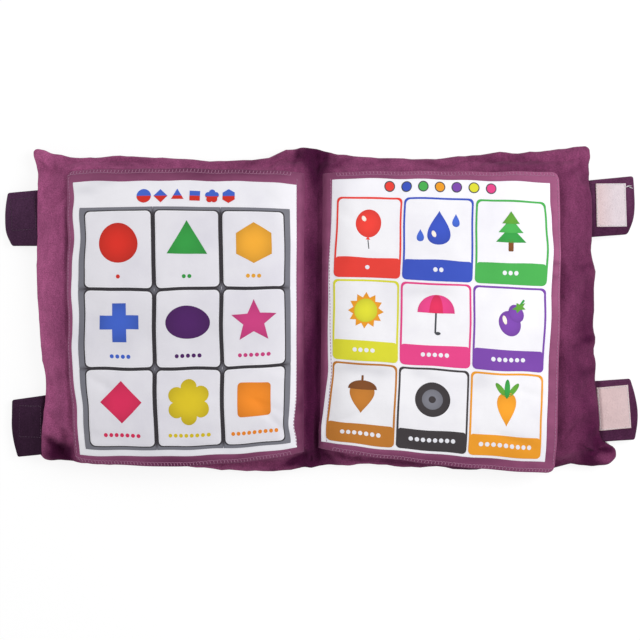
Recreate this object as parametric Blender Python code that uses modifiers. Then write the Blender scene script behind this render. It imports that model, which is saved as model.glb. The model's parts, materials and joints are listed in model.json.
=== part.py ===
"""A padded plush book with crinkle cloth pages, lying open on its back.

Two stuffed covers meet at a padded spine. On each of them lies one free cloth leaf, with a
crinkling film sewn in, and under it a page that is sewn to the cover. Two short straps stand
out from each side seam and close the book with hook and loop patches.

Metres, +Z up. +X runs across both open covers and +Y up the page. The origin lies on the
ground under the middle of the open book.
"""

from math import atan2, cos, pi, sin

import bmesh
import bpy
import numpy as np

OBJECT_NAME = "crinkle_cloth_book"

# Gaps and cloths
GAP = 0.0003
PLUSH = 0.0016
PAGE_CLOTH = 0.0008
PRINT_CLOTH = 0.0004
FILM = 0.0002

# Stuffed covers, measured from the spine
SPINE_X = -0.0066
SPINE_HALF = 0.025
RIGHT_REACH = 0.2838
LEFT_REACH = 0.2795
RIGHT_LEAN = -0.008
LEFT_LEAN = 0.0035
SIDE_DRAW_IN = 0.003
HALF_TALL = 0.158
TOP_DRAW_IN = 0.008
SPINE_HUMP = 0.006
HUMP_WIDTH = 0.030
CROWN = 0.044
SEAM_HEIGHT = 0.012
UNDERSIDE_ROUND = 0.030
VALLEY_DEPTH = 0.016
VALLEY_WIDTH = 0.026
SIDE_SWELL_POWER = 6
END_SWELL_POWER = 5
FILL_INSET = 0.006
FILL_RIM = 0.001

# Pages sewn to the covers, under the free leaves
COVER_PAGE_IN = 0.032
COVER_PAGE_INSET = 0.003
COVER_PRINT_MARGIN = 0.010
COVER_PAGE_TALL_SHARE = 0.88
COVER_PRINT_TALL_SHARE = 0.80

# Free leaves: inner edge from the spine, and margins to the cover's seams
LEAF_SEAT = 0.0006
RIGHT_LEAF_IN = 0.008
RIGHT_LEAF_SIDE_MARGIN = 0.0433
RIGHT_LEAF_TOP_MARGIN = 0.0195
RIGHT_LEAF_FOOT_MARGIN = 0.021
RIGHT_LEAF_FOOT_FALL = 0.0255
LEFT_LEAF_IN = 0.011
LEFT_LEAF_SIDE_MARGIN = 0.0355
LEFT_LEAF_TOP_MARGIN = 0.018
LEFT_LEAF_FOOT_MARGIN = 0.014
LEFT_LEAF_FOOT_FALL = 0.006
LEAF_TOP_BOW = 0.003
LEAF_CORNER = 0.008
PRINT_MARGIN = 0.010
GUTTER_DIP = 0.013
GUTTER_WIDTH = 0.022
LEAF_END_DROOP = 0.0085
LEAF_SIDE_DROOP = 0.0035
LEAF_DROOP_TALL_SHARE = 0.95
ROOT_IN = 0.003
ROOT_SEAT = 0.0005

# Closure straps
STRAP_CLOTH = 0.0024
STRAP_ROOT_CLOTH = 0.0010
STRAP_TAPER = 0.006
STRAP_DROP = 0.0088
PATCH_CLOTH = 0.0012
PATCH_TALL = 0.044
PATCH_LONG = 0.031
PATCH_INSET = 0.007
RIGHT_UPPER_STRAP = {"middle_share": 0.658, "tall": 0.062, "long": 0.0450, "slant": 0.0}
RIGHT_LOWER_STRAP = {"middle_share": -0.630, "tall": 0.063, "long": 0.0395, "slant": 0.0}
LEFT_UPPER_STRAP = {"middle_share": 0.589, "tall": 0.056, "long": 0.0330, "slant": 0.006}
LEFT_LOWER_STRAP = {"middle_share": -0.728, "tall": 0.062, "long": 0.0330, "slant": 0.006}

# Where the grid lines lie, as shares of the stretch that they divide
SIDE_LINE_SHARES = (0.33, 0.60, 0.80, 0.93, 1.0)
COVER_PAGE_STEPS = 8
LEAF_LINE_SHARES = (0.0, 0.05, 0.11, 0.20, 0.37, 0.54, 0.70, 0.82, 0.92, 1.0)
LEAF_END_LINE_SHARES = (0.0, 0.07, 0.17, 0.32, 0.50, 0.68, 0.83, 0.93, 1.0)
COVER_END_LINE_SHARES = (0.0, 0.18, 0.36, 0.52, 0.67)
COVER_RIM_LINE_SHARES = (0.935, 0.97, 0.99, 1.0)
SPINE_STEPS = 5
ROOT_STEPS = 2

# Worked out from the sizes above
RIM = PLUSH + GAP / 2
LEAF_THICK = 2 * PRINT_CLOTH + 2 * PAGE_CLOTH + FILM + 4 * GAP
COVER_STACK = GAP + PAGE_CLOTH + GAP + PRINT_CLOTH
LEAF_BED = CROWN + COVER_STACK + LEAF_SEAT
HINGE_HEIGHT = LEAF_BED + LEAF_THICK + GAP / 2

MIDDLE_Y = (RIGHT_LEAF_FOOT_FALL - RIGHT_LEAF_FOOT_MARGIN) / 2

REACH = {"left": LEFT_REACH, "right": RIGHT_REACH}
LEAN = {"left": LEFT_LEAN, "right": RIGHT_LEAN}
OUTWARD = {"left": -1, "right": 1}
LEAVES = {
    "left": {
        "in": LEFT_LEAF_IN,
        "out": LEFT_REACH - LEFT_LEAF_SIDE_MARGIN,
        "top": HALF_TALL - LEFT_LEAF_TOP_MARGIN,
        "foot_in": HALF_TALL - LEFT_LEAF_FOOT_MARGIN,
        "foot_fall": LEFT_LEAF_FOOT_FALL,
    },
    "right": {
        "in": RIGHT_LEAF_IN,
        "out": RIGHT_REACH - RIGHT_LEAF_SIDE_MARGIN,
        "top": HALF_TALL - RIGHT_LEAF_TOP_MARGIN,
        "foot_in": HALF_TALL - RIGHT_LEAF_FOOT_MARGIN,
        "foot_fall": RIGHT_LEAF_FOOT_FALL,
    },
}
STRAPS = {
    "left_upper": ("left", LEFT_UPPER_STRAP),
    "left_lower": ("left", LEFT_LOWER_STRAP),
    "right_upper": ("right", RIGHT_UPPER_STRAP),
    "right_lower": ("right", RIGHT_LOWER_STRAP),
}

# Colours as red, green and blue of the screen, with a roughness
PLUM_PLUSH = ((0.50, 0.24, 0.40), 0.92)
DARK_PLUSH = ((0.33, 0.14, 0.30), 0.92)
PLUM_CLOTH = ((0.48, 0.25, 0.45), 0.80)
WHITE_CLOTH = ((0.93, 0.93, 0.95), 0.75)
CLEAR_FILM = ((0.85, 0.87, 0.90), 0.25)
WHITE_FIBRE = ((0.90, 0.90, 0.90), 0.95)
PALE_PATCH = ((0.87, 0.82, 0.85), 0.95)
DARK_PATCH = ((0.20, 0.12, 0.20), 0.95)


def clear_scene():
    for item in list(bpy.data.objects):
        bpy.data.objects.remove(item, do_unlink=True)


def linear(value):
    """One screen colour channel as the light that it stands for."""
    return value / 12.92 if value <= 0.04045 else ((value + 0.055) / 1.055) ** 2.4


def material(name, finish):
    colour, roughness = finish
    made = bpy.data.materials.new(name)
    made.use_nodes = True
    shader = made.node_tree.nodes["Principled BSDF"]
    shader.inputs["Base Color"].default_value = (*map(linear, colour), 1.0)
    shader.inputs["Roughness"].default_value = roughness
    shader.inputs["Metallic"].default_value = 0.0
    made.diffuse_color = (*colour, 1.0)
    return made


def grid_object(name, steps_across, steps_up, finish, collection):
    """A flat grid with the steps asked for, and the place of each of its points in rows and columns."""
    bpy.ops.mesh.primitive_grid_add(
        x_subdivisions=steps_across, y_subdivisions=steps_up, size=1.0, location=(0.0, 0.0, 0.0)
    )
    piece = bpy.context.active_object
    piece.name = name
    piece.data.name = name
    for group in list(piece.users_collection):
        group.objects.unlink(piece)
    collection.objects.link(piece)
    piece.data.materials.append(material(name, finish))
    flat = np.empty(len(piece.data.vertices) * 3)
    piece.data.vertices.foreach_get("co", flat)
    flat = flat.reshape(-1, 3)
    column = np.rint((flat[:, 0] + 0.5) * steps_across).astype(int)
    row = np.rint((flat[:, 1] + 0.5) * steps_up).astype(int)
    return piece, column, row


def place_skin(points, column, row):
    """The grid's points in the mesh's own order, from an array of columns by rows."""
    return points[column, row]


def smooth(piece):
    piece.data.shade_smooth()
    piece.data.set_sharp_from_angle(angle=0.9)


def facing_up(points):
    """The points with their columns running so that the grid's faces look up."""
    return points if points[-1, 0, 0] > points[0, 0, 0] else points[::-1]


def cloth_panel(name, points, thickness, side_of_points, finish, collection):
    """Cloth of an even thickness: an open surface that Solidify thickens up (1) or down (-1)."""
    points = facing_up(points)
    piece, column, row = grid_object(
        name, points.shape[0] - 1, points.shape[1] - 1, finish, collection
    )
    piece.data.vertices.foreach_set("co", place_skin(points, column, row).ravel())
    piece.data.update()
    wall = piece.modifiers.new("cloth", "SOLIDIFY")
    wall.thickness = thickness
    wall.offset = side_of_points
    smooth(piece)
    return piece


def layer(name, lower, upper, finish, collection):
    """A closed layer between two skins: a grid is extruded, then both of its faces are shaped."""
    lower, upper = facing_up(lower), facing_up(upper)
    piece, column, row = grid_object(
        name, lower.shape[0] - 1, lower.shape[1] - 1, finish, collection
    )
    shape = bmesh.new()
    shape.from_mesh(piece.data)
    under = list(shape.verts)
    made = bmesh.ops.extrude_face_region(shape, geom=list(shape.faces), use_keep_orig=True)
    over = [item for item in made["geom"] if isinstance(item, bmesh.types.BMVert)]
    steps_across = lower.shape[0] - 1
    steps_up = lower.shape[1] - 1
    for vertex in over:
        across = round((vertex.co.x + 0.5) * steps_across)
        up = round((vertex.co.y + 0.5) * steps_up)
        vertex.co = upper[across, up]
    for vertex, place in zip(under, place_skin(lower, column, row)):
        vertex.co = place
    bmesh.ops.recalc_face_normals(shape, faces=list(shape.faces))
    shape.to_mesh(piece.data)
    shape.free()
    smooth(piece)
    return piece


def raised(points, height):
    return points + np.array((0.0, 0.0, height))


def side_reach(side, v):
    """How far the side seam lies from the spine at the height share v, from -1 to 1."""
    return REACH[side] + LEAN[side] * v - SIDE_DRAW_IN * (1 - v * v)


def top_edge(distance, reach):
    """How far the top and bottom seams lie from the middle, at a distance from the spine."""
    share = np.clip(np.abs(distance) / reach, 0, 1)
    hump = SPINE_HUMP * np.exp(-((distance / HUMP_WIDTH) ** 2))
    return HALF_TALL - TOP_DRAW_IN * (1 - share**SIDE_SWELL_POWER) + hump


def swell_along(v):
    return np.sqrt(np.clip(1 - np.abs(v) ** END_SWELL_POWER, 0, None))


def swell_across(distance, reach):
    share = np.clip(np.abs(distance) / reach, 0, 1)
    return np.sqrt(np.clip(1 - share**SIDE_SWELL_POWER, 0, None))


def cover_top(distance, reach, v):
    """Height of a cover's inner face: a crown that falls to the seams and to the spine's valley."""
    rim = SEAM_HEIGHT + RIM
    crown = CROWN - rim - VALLEY_DEPTH * np.exp(-((distance / VALLEY_WIDTH) ** 2))
    return rim + crown * swell_across(distance, reach) * swell_along(v)


def cover_underside(distance, reach, v, edge):
    """Height of a cover's outer face: flat on the ground, rounded up to the seam."""
    from_side = np.clip(1 - (reach - np.abs(distance)) / UNDERSIDE_ROUND, 0, 1)
    from_end = np.clip(1 - edge * (1 - np.abs(v)) / UNDERSIDE_ROUND, 0, 1)
    around = np.maximum(from_side, from_end) ** 2
    return (SEAM_HEIGHT - RIM) * (1 - np.sqrt(1 - around))


def cover_plan(side, distance_lines, v_lines, inset=0.0):
    """Distance, height share, reach and edge at each grid point, and its place seen from above."""
    v = np.broadcast_to(v_lines, (len(distance_lines(v_lines)), len(v_lines)))
    distance = distance_lines(v_lines)
    reach = side_reach(side, v) - inset
    edge = top_edge(distance, reach) - inset
    x = SPINE_X + OUTWARD[side] * distance
    return distance, v, reach, edge, x, edge * v


def stretched(shares, start, end):
    return start + np.asarray(shares) * (end - start)


def cover_lines(side, inset=0.0):
    """The lines across a cover, from the spine's joint to the side seam, by way of the page's edges."""
    page = cover_page_lines(side)

    def lines(v_lines):
        side_seam = side_reach(side, v_lines) - inset
        fixed = np.concatenate(([SPINE_HALF + GAP / 2], page))
        fixed = np.broadcast_to(fixed[:, None], (len(fixed), len(v_lines)))
        rest = page[-1] + np.asarray(SIDE_LINE_SHARES)[:, None] * (side_seam - page[-1])
        return np.concatenate((fixed, rest))

    return lines


def cover_page_lines(side):
    """The lines across the sewn page: its edges, the print's edges and even steps between these."""
    page_out = LEAVES[side]["out"] - COVER_PAGE_INSET
    inner = np.linspace(
        COVER_PAGE_IN + COVER_PRINT_MARGIN, page_out - COVER_PRINT_MARGIN, COVER_PAGE_STEPS + 1
    )
    return np.concatenate(([COVER_PAGE_IN], inner, [page_out]))


def cover_height_lines():
    """Height shares of the cover's lines, with the page's and the print's edges among them."""
    half = np.concatenate(
        (
            COVER_END_LINE_SHARES,
            (COVER_PRINT_TALL_SHARE, COVER_PAGE_TALL_SHARE),
            COVER_RIM_LINE_SHARES,
        )
    )
    return np.concatenate((-half[:0:-1], half))


def stacked(x, y, z):
    """Points from their places, moved up the page so that the whole book is centred."""
    return np.stack((x, y + MIDDLE_Y, z), axis=-1)


def build_cover(side, collection):
    """Outer panel, filling and inner panel of one cover."""
    v_lines = cover_height_lines()
    distance, v, reach, edge, x, y = cover_plan(side, cover_lines(side), v_lines)
    inner = stacked(x, y, cover_top(distance, reach, v))
    outer = stacked(x, y, cover_underside(distance, reach, v, edge))
    cloth_panel(f"{side}_inner_panel", inner, PLUSH, -1, PLUM_PLUSH, collection)
    cloth_panel(f"{side}_outer_panel", outer, PLUSH, 1, PLUM_PLUSH, collection)
    distance, v, reach, edge, x, y = cover_plan(
        side, cover_lines(side, FILL_INSET), v_lines, FILL_INSET
    )
    fill_drop = PLUSH + 3 * GAP
    top = np.maximum(cover_top(distance, reach, v) - fill_drop, SEAM_HEIGHT + FILL_RIM)
    bottom = cover_underside(distance, reach, v, edge) + fill_drop
    bottom = np.minimum(bottom, SEAM_HEIGHT - FILL_RIM)
    layer(
        f"{side}_filling", stacked(x, y, bottom), stacked(x, y, top), WHITE_FIBRE, collection
    )


def build_cover_page(side, collection):
    """The page that is sewn to a cover under the free leaf, and the printed cloth on it."""
    page_lines = cover_page_lines(side)
    v_lines = cover_height_lines()
    page_lines_up = v_lines[np.abs(v_lines) <= COVER_PAGE_TALL_SHARE]
    print_lines_up = v_lines[np.abs(v_lines) <= COVER_PRINT_TALL_SHARE]

    def on_cover(lines, lines_up):
        def across(v):
            return np.broadcast_to(lines[:, None], (len(lines), len(v)))

        distance, v, reach, _, x, y = cover_plan(side, across, lines_up)
        return stacked(x, y, cover_top(distance, reach, v))

    page = raised(on_cover(page_lines, page_lines_up), GAP)
    layer(f"{side}_cover_page", page, raised(page, PAGE_CLOTH), PLUM_CLOTH, collection)
    printed = raised(on_cover(page_lines[1:-1], print_lines_up), GAP + PAGE_CLOTH + GAP)
    layer(
        f"{side}_cover_print", printed, raised(printed, PRINT_CLOTH), WHITE_CLOTH, collection
    )


def build_spine(collection):
    """The padded strip between the covers, where the open book folds."""
    v_lines = cover_height_lines()
    half = SPINE_HALF - GAP / 2
    distance = np.linspace(-half, half, SPINE_STEPS + 1)[:, None] * np.ones(len(v_lines))
    v = np.broadcast_to(v_lines, distance.shape)
    reach = (side_reach("left", v) + side_reach("right", v)) / 2
    edge = top_edge(distance, reach)
    x = SPINE_X + distance
    inner = stacked(x, edge * v, cover_top(distance, reach, v))
    outer = stacked(x, edge * v, cover_underside(distance, reach, v, edge))
    cloth_panel("spine_inner_panel", inner, PLUSH, -1, PLUM_PLUSH, collection)
    cloth_panel("spine_outer_panel", outer, PLUSH, 1, PLUM_PLUSH, collection)
    edge = edge - FILL_INSET
    fill_drop = PLUSH + 3 * GAP
    top = np.maximum(cover_top(distance, reach, v) - fill_drop, SEAM_HEIGHT + FILL_RIM)
    bottom = cover_underside(distance, reach, v, edge) + fill_drop
    bottom = np.minimum(bottom, SEAM_HEIGHT - FILL_RIM)
    layer(
        "spine_filling",
        stacked(x, edge * v, bottom),
        stacked(x, edge * v, top),
        WHITE_FIBRE,
        collection,
    )


def leaf_lines(side):
    """The lines across a leaf: its edges, the print's edges and even steps between these."""
    leaf = LEAVES[side]
    inner = stretched(LEAF_LINE_SHARES, leaf["in"] + PRINT_MARGIN, leaf["out"] - PRINT_MARGIN)
    return np.concatenate(([leaf["in"]], inner, [leaf["out"]]))


def leaf_rows(side, distance, margin):
    """How far up each line's points lie: shares of the stretch between the print's two ends."""
    leaf = LEAVES[side]
    along = (distance - leaf["in"]) / (leaf["out"] - leaf["in"])
    top = leaf["top"] + LEAF_TOP_BOW * 4 * along * (1 - along)
    foot = -(leaf["foot_in"] + along * leaf["foot_fall"])
    inner = [
        foot + margin + share * (top - foot - 2 * margin) for share in LEAF_END_LINE_SHARES
    ]
    return np.stack([foot, *inner, top], axis=-1)


def leaf_height(distance, y, out):
    """Height of a leaf's lowest face: flat on the crown, low at the gutter and at the edges."""
    gutter = GUTTER_DIP * np.exp(-((distance / GUTTER_WIDTH) ** 2))
    tall = LEAF_DROOP_TALL_SHARE * HALF_TALL
    ends = LEAF_END_DROOP * np.minimum(np.abs(y) / tall, 1) ** 4
    far_side = LEAF_SIDE_DROOP * (distance / out) ** SIDE_SWELL_POWER
    return LEAF_BED - gutter - ends - far_side


def leaf_surface(side):
    """The lowest face of a leaf, as an array of lines by rows, with its two outer corners rounded."""
    lines = leaf_lines(side)
    y = leaf_rows(side, lines, PRINT_MARGIN)
    distance = np.broadcast_to(lines[:, None], y.shape)
    z = leaf_height(distance, y, LEAVES[side]["out"])
    distance = distance.copy()
    cut = LEAF_CORNER * (1 - cos(pi / 4))
    distance[-1, [0, -1]] -= cut
    y[-1, 0] += cut
    y[-1, -1] -= cut
    return stacked(SPINE_X + OUTWARD[side] * distance, y, z)


def build_leaf(side, collection):
    """A free leaf: printed cloth on both faces of two plum cloths with a crinkling film between."""
    surface = leaf_surface(side)
    height = 0.0
    stack = (
        ("back_print", PRINT_CLOTH, True, WHITE_CLOTH),
        ("back_cloth", PAGE_CLOTH, False, PLUM_CLOTH),
        ("crinkle_film", FILM, True, CLEAR_FILM),
        ("front_cloth", PAGE_CLOTH, False, PLUM_CLOTH),
        ("front_print", PRINT_CLOTH, True, WHITE_CLOTH),
    )
    for part, thickness, within_margin, finish in stack:
        sheet = surface[1:-1, 1:-1] if within_margin else surface
        lower = raised(sheet, height)
        layer(f"{side}_leaf_{part}", lower, raised(lower, thickness), finish, collection)
        height += thickness + GAP


def build_leaf_root(side, collection):
    """The leaf's inner hem, which runs down into the spine's valley and is sewn there."""
    leaf = leaf_surface(side)[0]
    lines = np.linspace(ROOT_IN, LEAVES[side]["in"] - GAP, ROOT_STEPS + 1)
    y = leaf[:, 1] - MIDDLE_Y
    v = y / top_edge(0.0, REACH[side])
    at_seam = cover_top(SPINE_HALF / SPINE_STEPS, REACH[side], v) + ROOT_SEAT
    lower, upper = [], []
    for distance in lines:
        share = (distance - ROOT_IN) / (lines[-1] - ROOT_IN)
        low = at_seam + share * (leaf[:, 2] + PRINT_CLOTH + GAP - at_seam)
        thick = LEAF_THICK - 2 * (PRINT_CLOTH + GAP)
        x = np.full_like(y, SPINE_X + OUTWARD[side] * distance)
        lower.append(stacked(x, y, low))
        upper.append(stacked(x, y, low + thick))
    layer(f"{side}_leaf_root", np.stack(lower), np.stack(upper), PLUM_CLOTH, collection)


def strap_frame(side, strap):
    """The strap's hinge point on its seam, and the directions along the seam and away from it."""
    v = strap["middle_share"]
    step = GAP / HALF_TALL
    reach = side_reach(side, v)
    slope = (side_reach(side, v + step) - side_reach(side, v - step)) / (2 * GAP)
    lean = atan2(OUTWARD[side] * slope, 1.0)
    along = np.array((sin(lean), cos(lean), 0.0))
    away = OUTWARD[side] * np.array((cos(lean), -sin(lean), 0.0))
    seam_x = SPINE_X + OUTWARD[side] * (reach + GAP)
    seam_z = SEAM_HEIGHT + RIM + GAP + STRAP_ROOT_CLOTH / 2
    hinge = np.array((seam_x, v * HALF_TALL + MIDDLE_Y, seam_z))
    return hinge, along, away


def strap_points(hinge, along, away, outs, sideways, height):
    """Points of a strap's skin, from distances away from the seam and along it."""
    fall = STRAP_DROP * (outs / outs.max())
    flat = hinge + outs[..., None] * away + sideways[..., None] * along
    return flat + np.stack((np.zeros_like(outs), np.zeros_like(outs), height - fall), axis=-1)


def build_strap(name, collection):
    """A closure strap, thin where it is sewn in, with its hook or loop patch."""
    side, strap = STRAPS[name]
    hinge, along, away = strap_frame(side, strap)
    root = GAP / 2
    patch_start = max(strap["long"] - PATCH_INSET - PATCH_LONG, STRAP_TAPER)
    patch_end = strap["long"] - PATCH_INSET
    lines = np.array((root, STRAP_TAPER, patch_end, strap["long"]))
    lines = np.insert(lines, 2, patch_start) if patch_start > STRAP_TAPER else lines
    half_rows = np.array((-strap["tall"] / 2, -PATCH_TALL / 2, PATCH_TALL / 2, strap["tall"] / 2))
    sideways = np.broadcast_to(half_rows, (len(lines), len(half_rows)))
    outs = np.broadcast_to(lines[:, None], sideways.shape)
    slant = strap["slant"] * (sideways / strap["tall"]) * (outs / strap["long"])
    thick = STRAP_ROOT_CLOTH + (STRAP_CLOTH - STRAP_ROOT_CLOTH) * np.minimum(
        outs / STRAP_TAPER, 1
    )
    run = outs + slant
    lower = strap_points(hinge, along, away, run, sideways, -thick / 2)
    upper = strap_points(hinge, along, away, run, sideways, thick / 2)
    body_finish = DARK_PLUSH if side == "left" else PLUM_PLUSH
    layer(f"{name}_strap", lower, upper, body_finish, collection)
    first = 2 if patch_start > STRAP_TAPER else 1
    if side == "right":
        patch = raised(upper[first:-1, 1:-1], GAP)
        layer(f"{name}_loop_patch", patch, raised(patch, PATCH_CLOTH), PALE_PATCH, collection)
    else:
        patch = raised(lower[first:-1, 1:-1], -GAP)
        layer(f"{name}_hook_patch", raised(patch, -PATCH_CLOTH), patch, DARK_PATCH, collection)


def main():
    clear_scene()
    book = bpy.data.collections.new(OBJECT_NAME)
    bpy.context.scene.collection.children.link(book)
    for side in ("right", "left"):
        build_cover(side, book)
        build_cover_page(side, book)
        build_leaf(side, book)
        build_leaf_root(side, book)
    build_spine(book)
    for name in STRAPS:
        build_strap(name, book)


main()
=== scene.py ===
"""Looks of a padded cloth book: plush covers, crinkling leaves with prints and four closure straps."""

import json
import math

import bpy
import numpy as np
from bpy.props import FloatProperty, FloatVectorProperty, IntProperty, PointerProperty
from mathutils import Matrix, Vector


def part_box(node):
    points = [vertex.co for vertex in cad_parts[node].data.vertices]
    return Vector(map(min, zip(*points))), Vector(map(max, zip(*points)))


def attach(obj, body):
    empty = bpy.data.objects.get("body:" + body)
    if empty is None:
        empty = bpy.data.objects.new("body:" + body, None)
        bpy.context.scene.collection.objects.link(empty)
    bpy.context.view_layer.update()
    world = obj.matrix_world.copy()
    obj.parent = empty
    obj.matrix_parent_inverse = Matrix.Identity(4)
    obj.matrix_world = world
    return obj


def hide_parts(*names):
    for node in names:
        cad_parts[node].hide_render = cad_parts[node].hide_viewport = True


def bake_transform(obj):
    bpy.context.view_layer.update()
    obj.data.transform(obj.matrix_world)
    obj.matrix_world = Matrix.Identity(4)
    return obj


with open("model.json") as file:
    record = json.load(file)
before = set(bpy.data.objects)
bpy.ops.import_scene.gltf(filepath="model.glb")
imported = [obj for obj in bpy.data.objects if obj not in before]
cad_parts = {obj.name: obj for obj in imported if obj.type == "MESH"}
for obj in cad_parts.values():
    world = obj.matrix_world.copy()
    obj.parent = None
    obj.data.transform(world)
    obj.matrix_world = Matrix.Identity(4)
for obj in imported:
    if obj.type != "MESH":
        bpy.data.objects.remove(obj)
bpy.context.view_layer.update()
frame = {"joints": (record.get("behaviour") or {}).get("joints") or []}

bl_info = {
    "name": "Crinkle Cloth Book",
    "version": (1, 0, 0),
    "blender": (4, 5, 0),
    "location": "3D View > Sidebar > Cloth Book",
    "description": "Looks of a padded cloth book with crinkling leaves and four closure straps",
    "category": "Object",
}

MM = 0.001
SIDES = ("left", "right")
OUTWARD = {"left": -1, "right": 1}
JOINTS = {joint["name"]: joint for joint in frame["joints"]}
SPINE_X, _, HINGE_HEIGHT = JOINTS["book_fold"]["pos_m"]
# The middle of the covers up the book, in metres
MIDDLE_Y = 0.00225
UP = np.array((0.0, 0.0, 1.0))
# The four sides of a grid
RIMS = ((0, slice(None)), (-1, slice(None)), (slice(None), 0), (slice(None), -1))
# Lengths in metres. At a cloth's edge: the strip in which its two skins meet, and the line after it
RIM = 0.0003
RIM_LINES = (0.001,)
# Under a sewn page and under its print: the spaces, and the plum cloth beside the print
PAGE_SEAT, PRINT_SEAT, PAGE_BORDER = 0.0003, 0.00005, 0.010
# A leaf's cloths and film over its lowest face, and its front face
LEAF_LAYERS = {"back_cloth": 0.00095, "crinkle_film": 0.00190, "front_cloth": 0.00248}
FRONT_FACE = 0.00315
# The lines of a leaf's grid that its film spans: clear of the bend at its root, and of its hems
FILM_LINES = (slice(24, -4), slice(4, -4))
# Where a leaf bends as it turns: how far in the close lines run, their distance, and the next line
FOLD_RUN, FOLD_STEP, FOLD_CLEAR = 0.0200, 0.0008, 0.0206
# The waves along the seams, long and short
PUCKER_LONG, PUCKER_SHORT = 0.019, 0.0083
# The straight seam beside the spine, and where the overlock stitches begin, from a leaf's edge
INNER_INSET, OVERLOCK_INSET = 0.0072, 0.0008
# Ink: the strip at its edge, how near the spine its loops lie closer, the distance between loops
# there and elsewhere, and its height over the cloth and over the layer below
INK_RIM, INK_NEAR = 0.00012, 0.030
INK_LOOPS = (1.8 * MM, 2.8 * MM)
INK_TOP, INK_FOOT = 0.09 * MM, 0.03 * MM

# Seams of the cushion seen from above, in millimetres from the middle of the book. The top and
# bottom seams are read from left to right, the side seams from bottom to top.
TOP_SEAM = (
    (-293.5, 168), (-285, 166.5), (-274.5, 162.3), (-266, 160.7), (-256, 158.7), (-240, 158),
    (-205, 159.5), (-150, 157), (-94, 154.6), (-63.5, 156.7), (-53, 158.2), (-47, 161), (-42, 165),
    (-33, 166.2), (-20, 168), (-8, 167), (3, 164), (18, 161.5), (48, 158.2), (79, 157.2),
    (109, 156.4), (120, 157), (140, 159.7), (165, 161.4), (178, 163.6), (186, 163.4), (197, 162.2),
    (211, 163.8), (231, 165.5), (243, 167.2), (259, 168.8), (271, 169.5),
)
BOTTOM_SEAM = (
    (-287, -146.5), (-279, -148.6), (-266, -149), (-254, -150), (-246, -151.4), (-226, -153),
    (-190, -153.5), (-152, -154.5), (-124, -156.5), (-99, -159), (-63, -159.7), (-40, -160),
    (-26, -157.5), (-18, -156.3), (-11, -157.3), (-2, -154.2), (18, -154), (60, -153.4),
    (77, -155.2), (99, -156.4), (110, -155.6), (134, -157.4), (146, -158.8), (160, -158),
    (190, -159), (210, -160), (226, -158.6), (241, -154.8), (253, -153), (262, -153.5),
    (275, -155.2), (284, -154), (293, -151.5),
)
LEFT_SEAM = (
    (-146.5, -287), (-138, -285.8), (-129, -285.3), (-118, -284.8), (-102, -282.6), (-80, -280.7),
    (-66, -280.7), (-47, -284), (-5, -287.5), (24, -289.4), (85, -289.3), (130, -288.8),
    (145, -289), (152, -291), (159, -293), (168, -293.5),
)
RIGHT_SEAM = (
    (-151.5, 293), (-147.5, 297), (-142, 297.8), (-135, 294), (-130.5, 286), (-126, 282.8),
    (-108, 280.8), (-88, 279), (-68, 276.2), (-49, 277), (-37, 274.8), (-27, 276.8), (-16, 274.6),
    (8, 275.5), (25, 275.2), (46, 276), (54, 273.8), (64, 272.2), (76, 273), (100, 273),
    (115, 272.5), (136, 270), (148, 270), (157, 271), (169.5, 271),
)
CUSHION_CORNER = 6.0
# Painted light and shade on the plush: place and reach in millimetres, and how much, below 0 for shade
PLUSH_PAINTED_SHADING = (
    (-268, -144, 17, 9, -0.80), (-256, -136, 8, 7, -0.45), (-276, -132, 8, 8, -0.36),
    (-12, 158, 24, 12, -0.30), (-17, -90, 6, 60, -0.16), (-110, 152, 60, 8, -0.14),
    (-34, 156, 12, 10, -0.12), (-274, 52, 10, 22, 0.12), (-272, -68, 10, 26, 0.14),
    (100, 150, 40, 8, 0.12), (256, -60, 20, 90, -0.09), (278, -137, 10, 6, 0.15),
    (-12, -150, 40, 9, -0.25), (-288, 20, 14, 150, 0.16), (-262, -40, 7, 130, -0.12),
    (-246, 150, 40, 7, -0.10), (240, 160, 60, 14, 0.10), (276, -120, 22, 44, -0.14),
    (286, -146, 10, 8, 0.20), (180, -156, 90, 8, -0.30),
)
# Painted light and shade on the plum borders of the leaves, in the same columns
BORDER_PAINTED_SHADING = (
    (-110, 146, 110, 12, -0.44), (-250, 20, 9, 120, 0.04), (-130, -154, 100, 16, -0.38),
    (-24, 50, 7, 80, 0.08), (-22, -90, 9, 50, -0.36), (-17, 0, 4, 140, -0.28),
    (240, 70, 15, 80, 0.40), (240, -100, 15, 80, -0.03), (80, 142, 80, 10, 0.02),
    (200, 142, 50, 10, 0.16), (60, -150, 70, 16, -0.26), (190, -158, 60, 16, -0.08),
    (4, -30, 8, 110, -0.10), (230, 48, 10, 3, -0.34), (228, 35, 10, 3, -0.26),
    (150, -146, 60, 7, -0.12),
)
# How far the prints are shaded by the soft folds of their cloth
PRINT_PAINTED_SHADE = (
    (-234, 122, 12, 5, 0.34), (-216, 130, 16, 4, 0.30), (-57, 120, 25, 14, 0.12),
    (-190, -10, 34, 24, 0.22), (-120, -16, 40, 24, 0.20), (-60, -14, 24, 20, 0.14),
    (32, -54, 20, 6, 0.52), (58, -58, 12, 6, 0.40), (103, 22, 24, 7, 0.36), (96, -58, 10, 5, 0.30),
    (108, -64, 9, 5, 0.22), (158, -66, 13, 10, 0.36),
)
# Painted light and shade of each strap: how light its middle is painted
STRAP_PAINTED_SHADING = {"right_upper": 0.16, "right_lower": 0.10, "left_upper": 0.78, "left_lower": 0.32}
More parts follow.
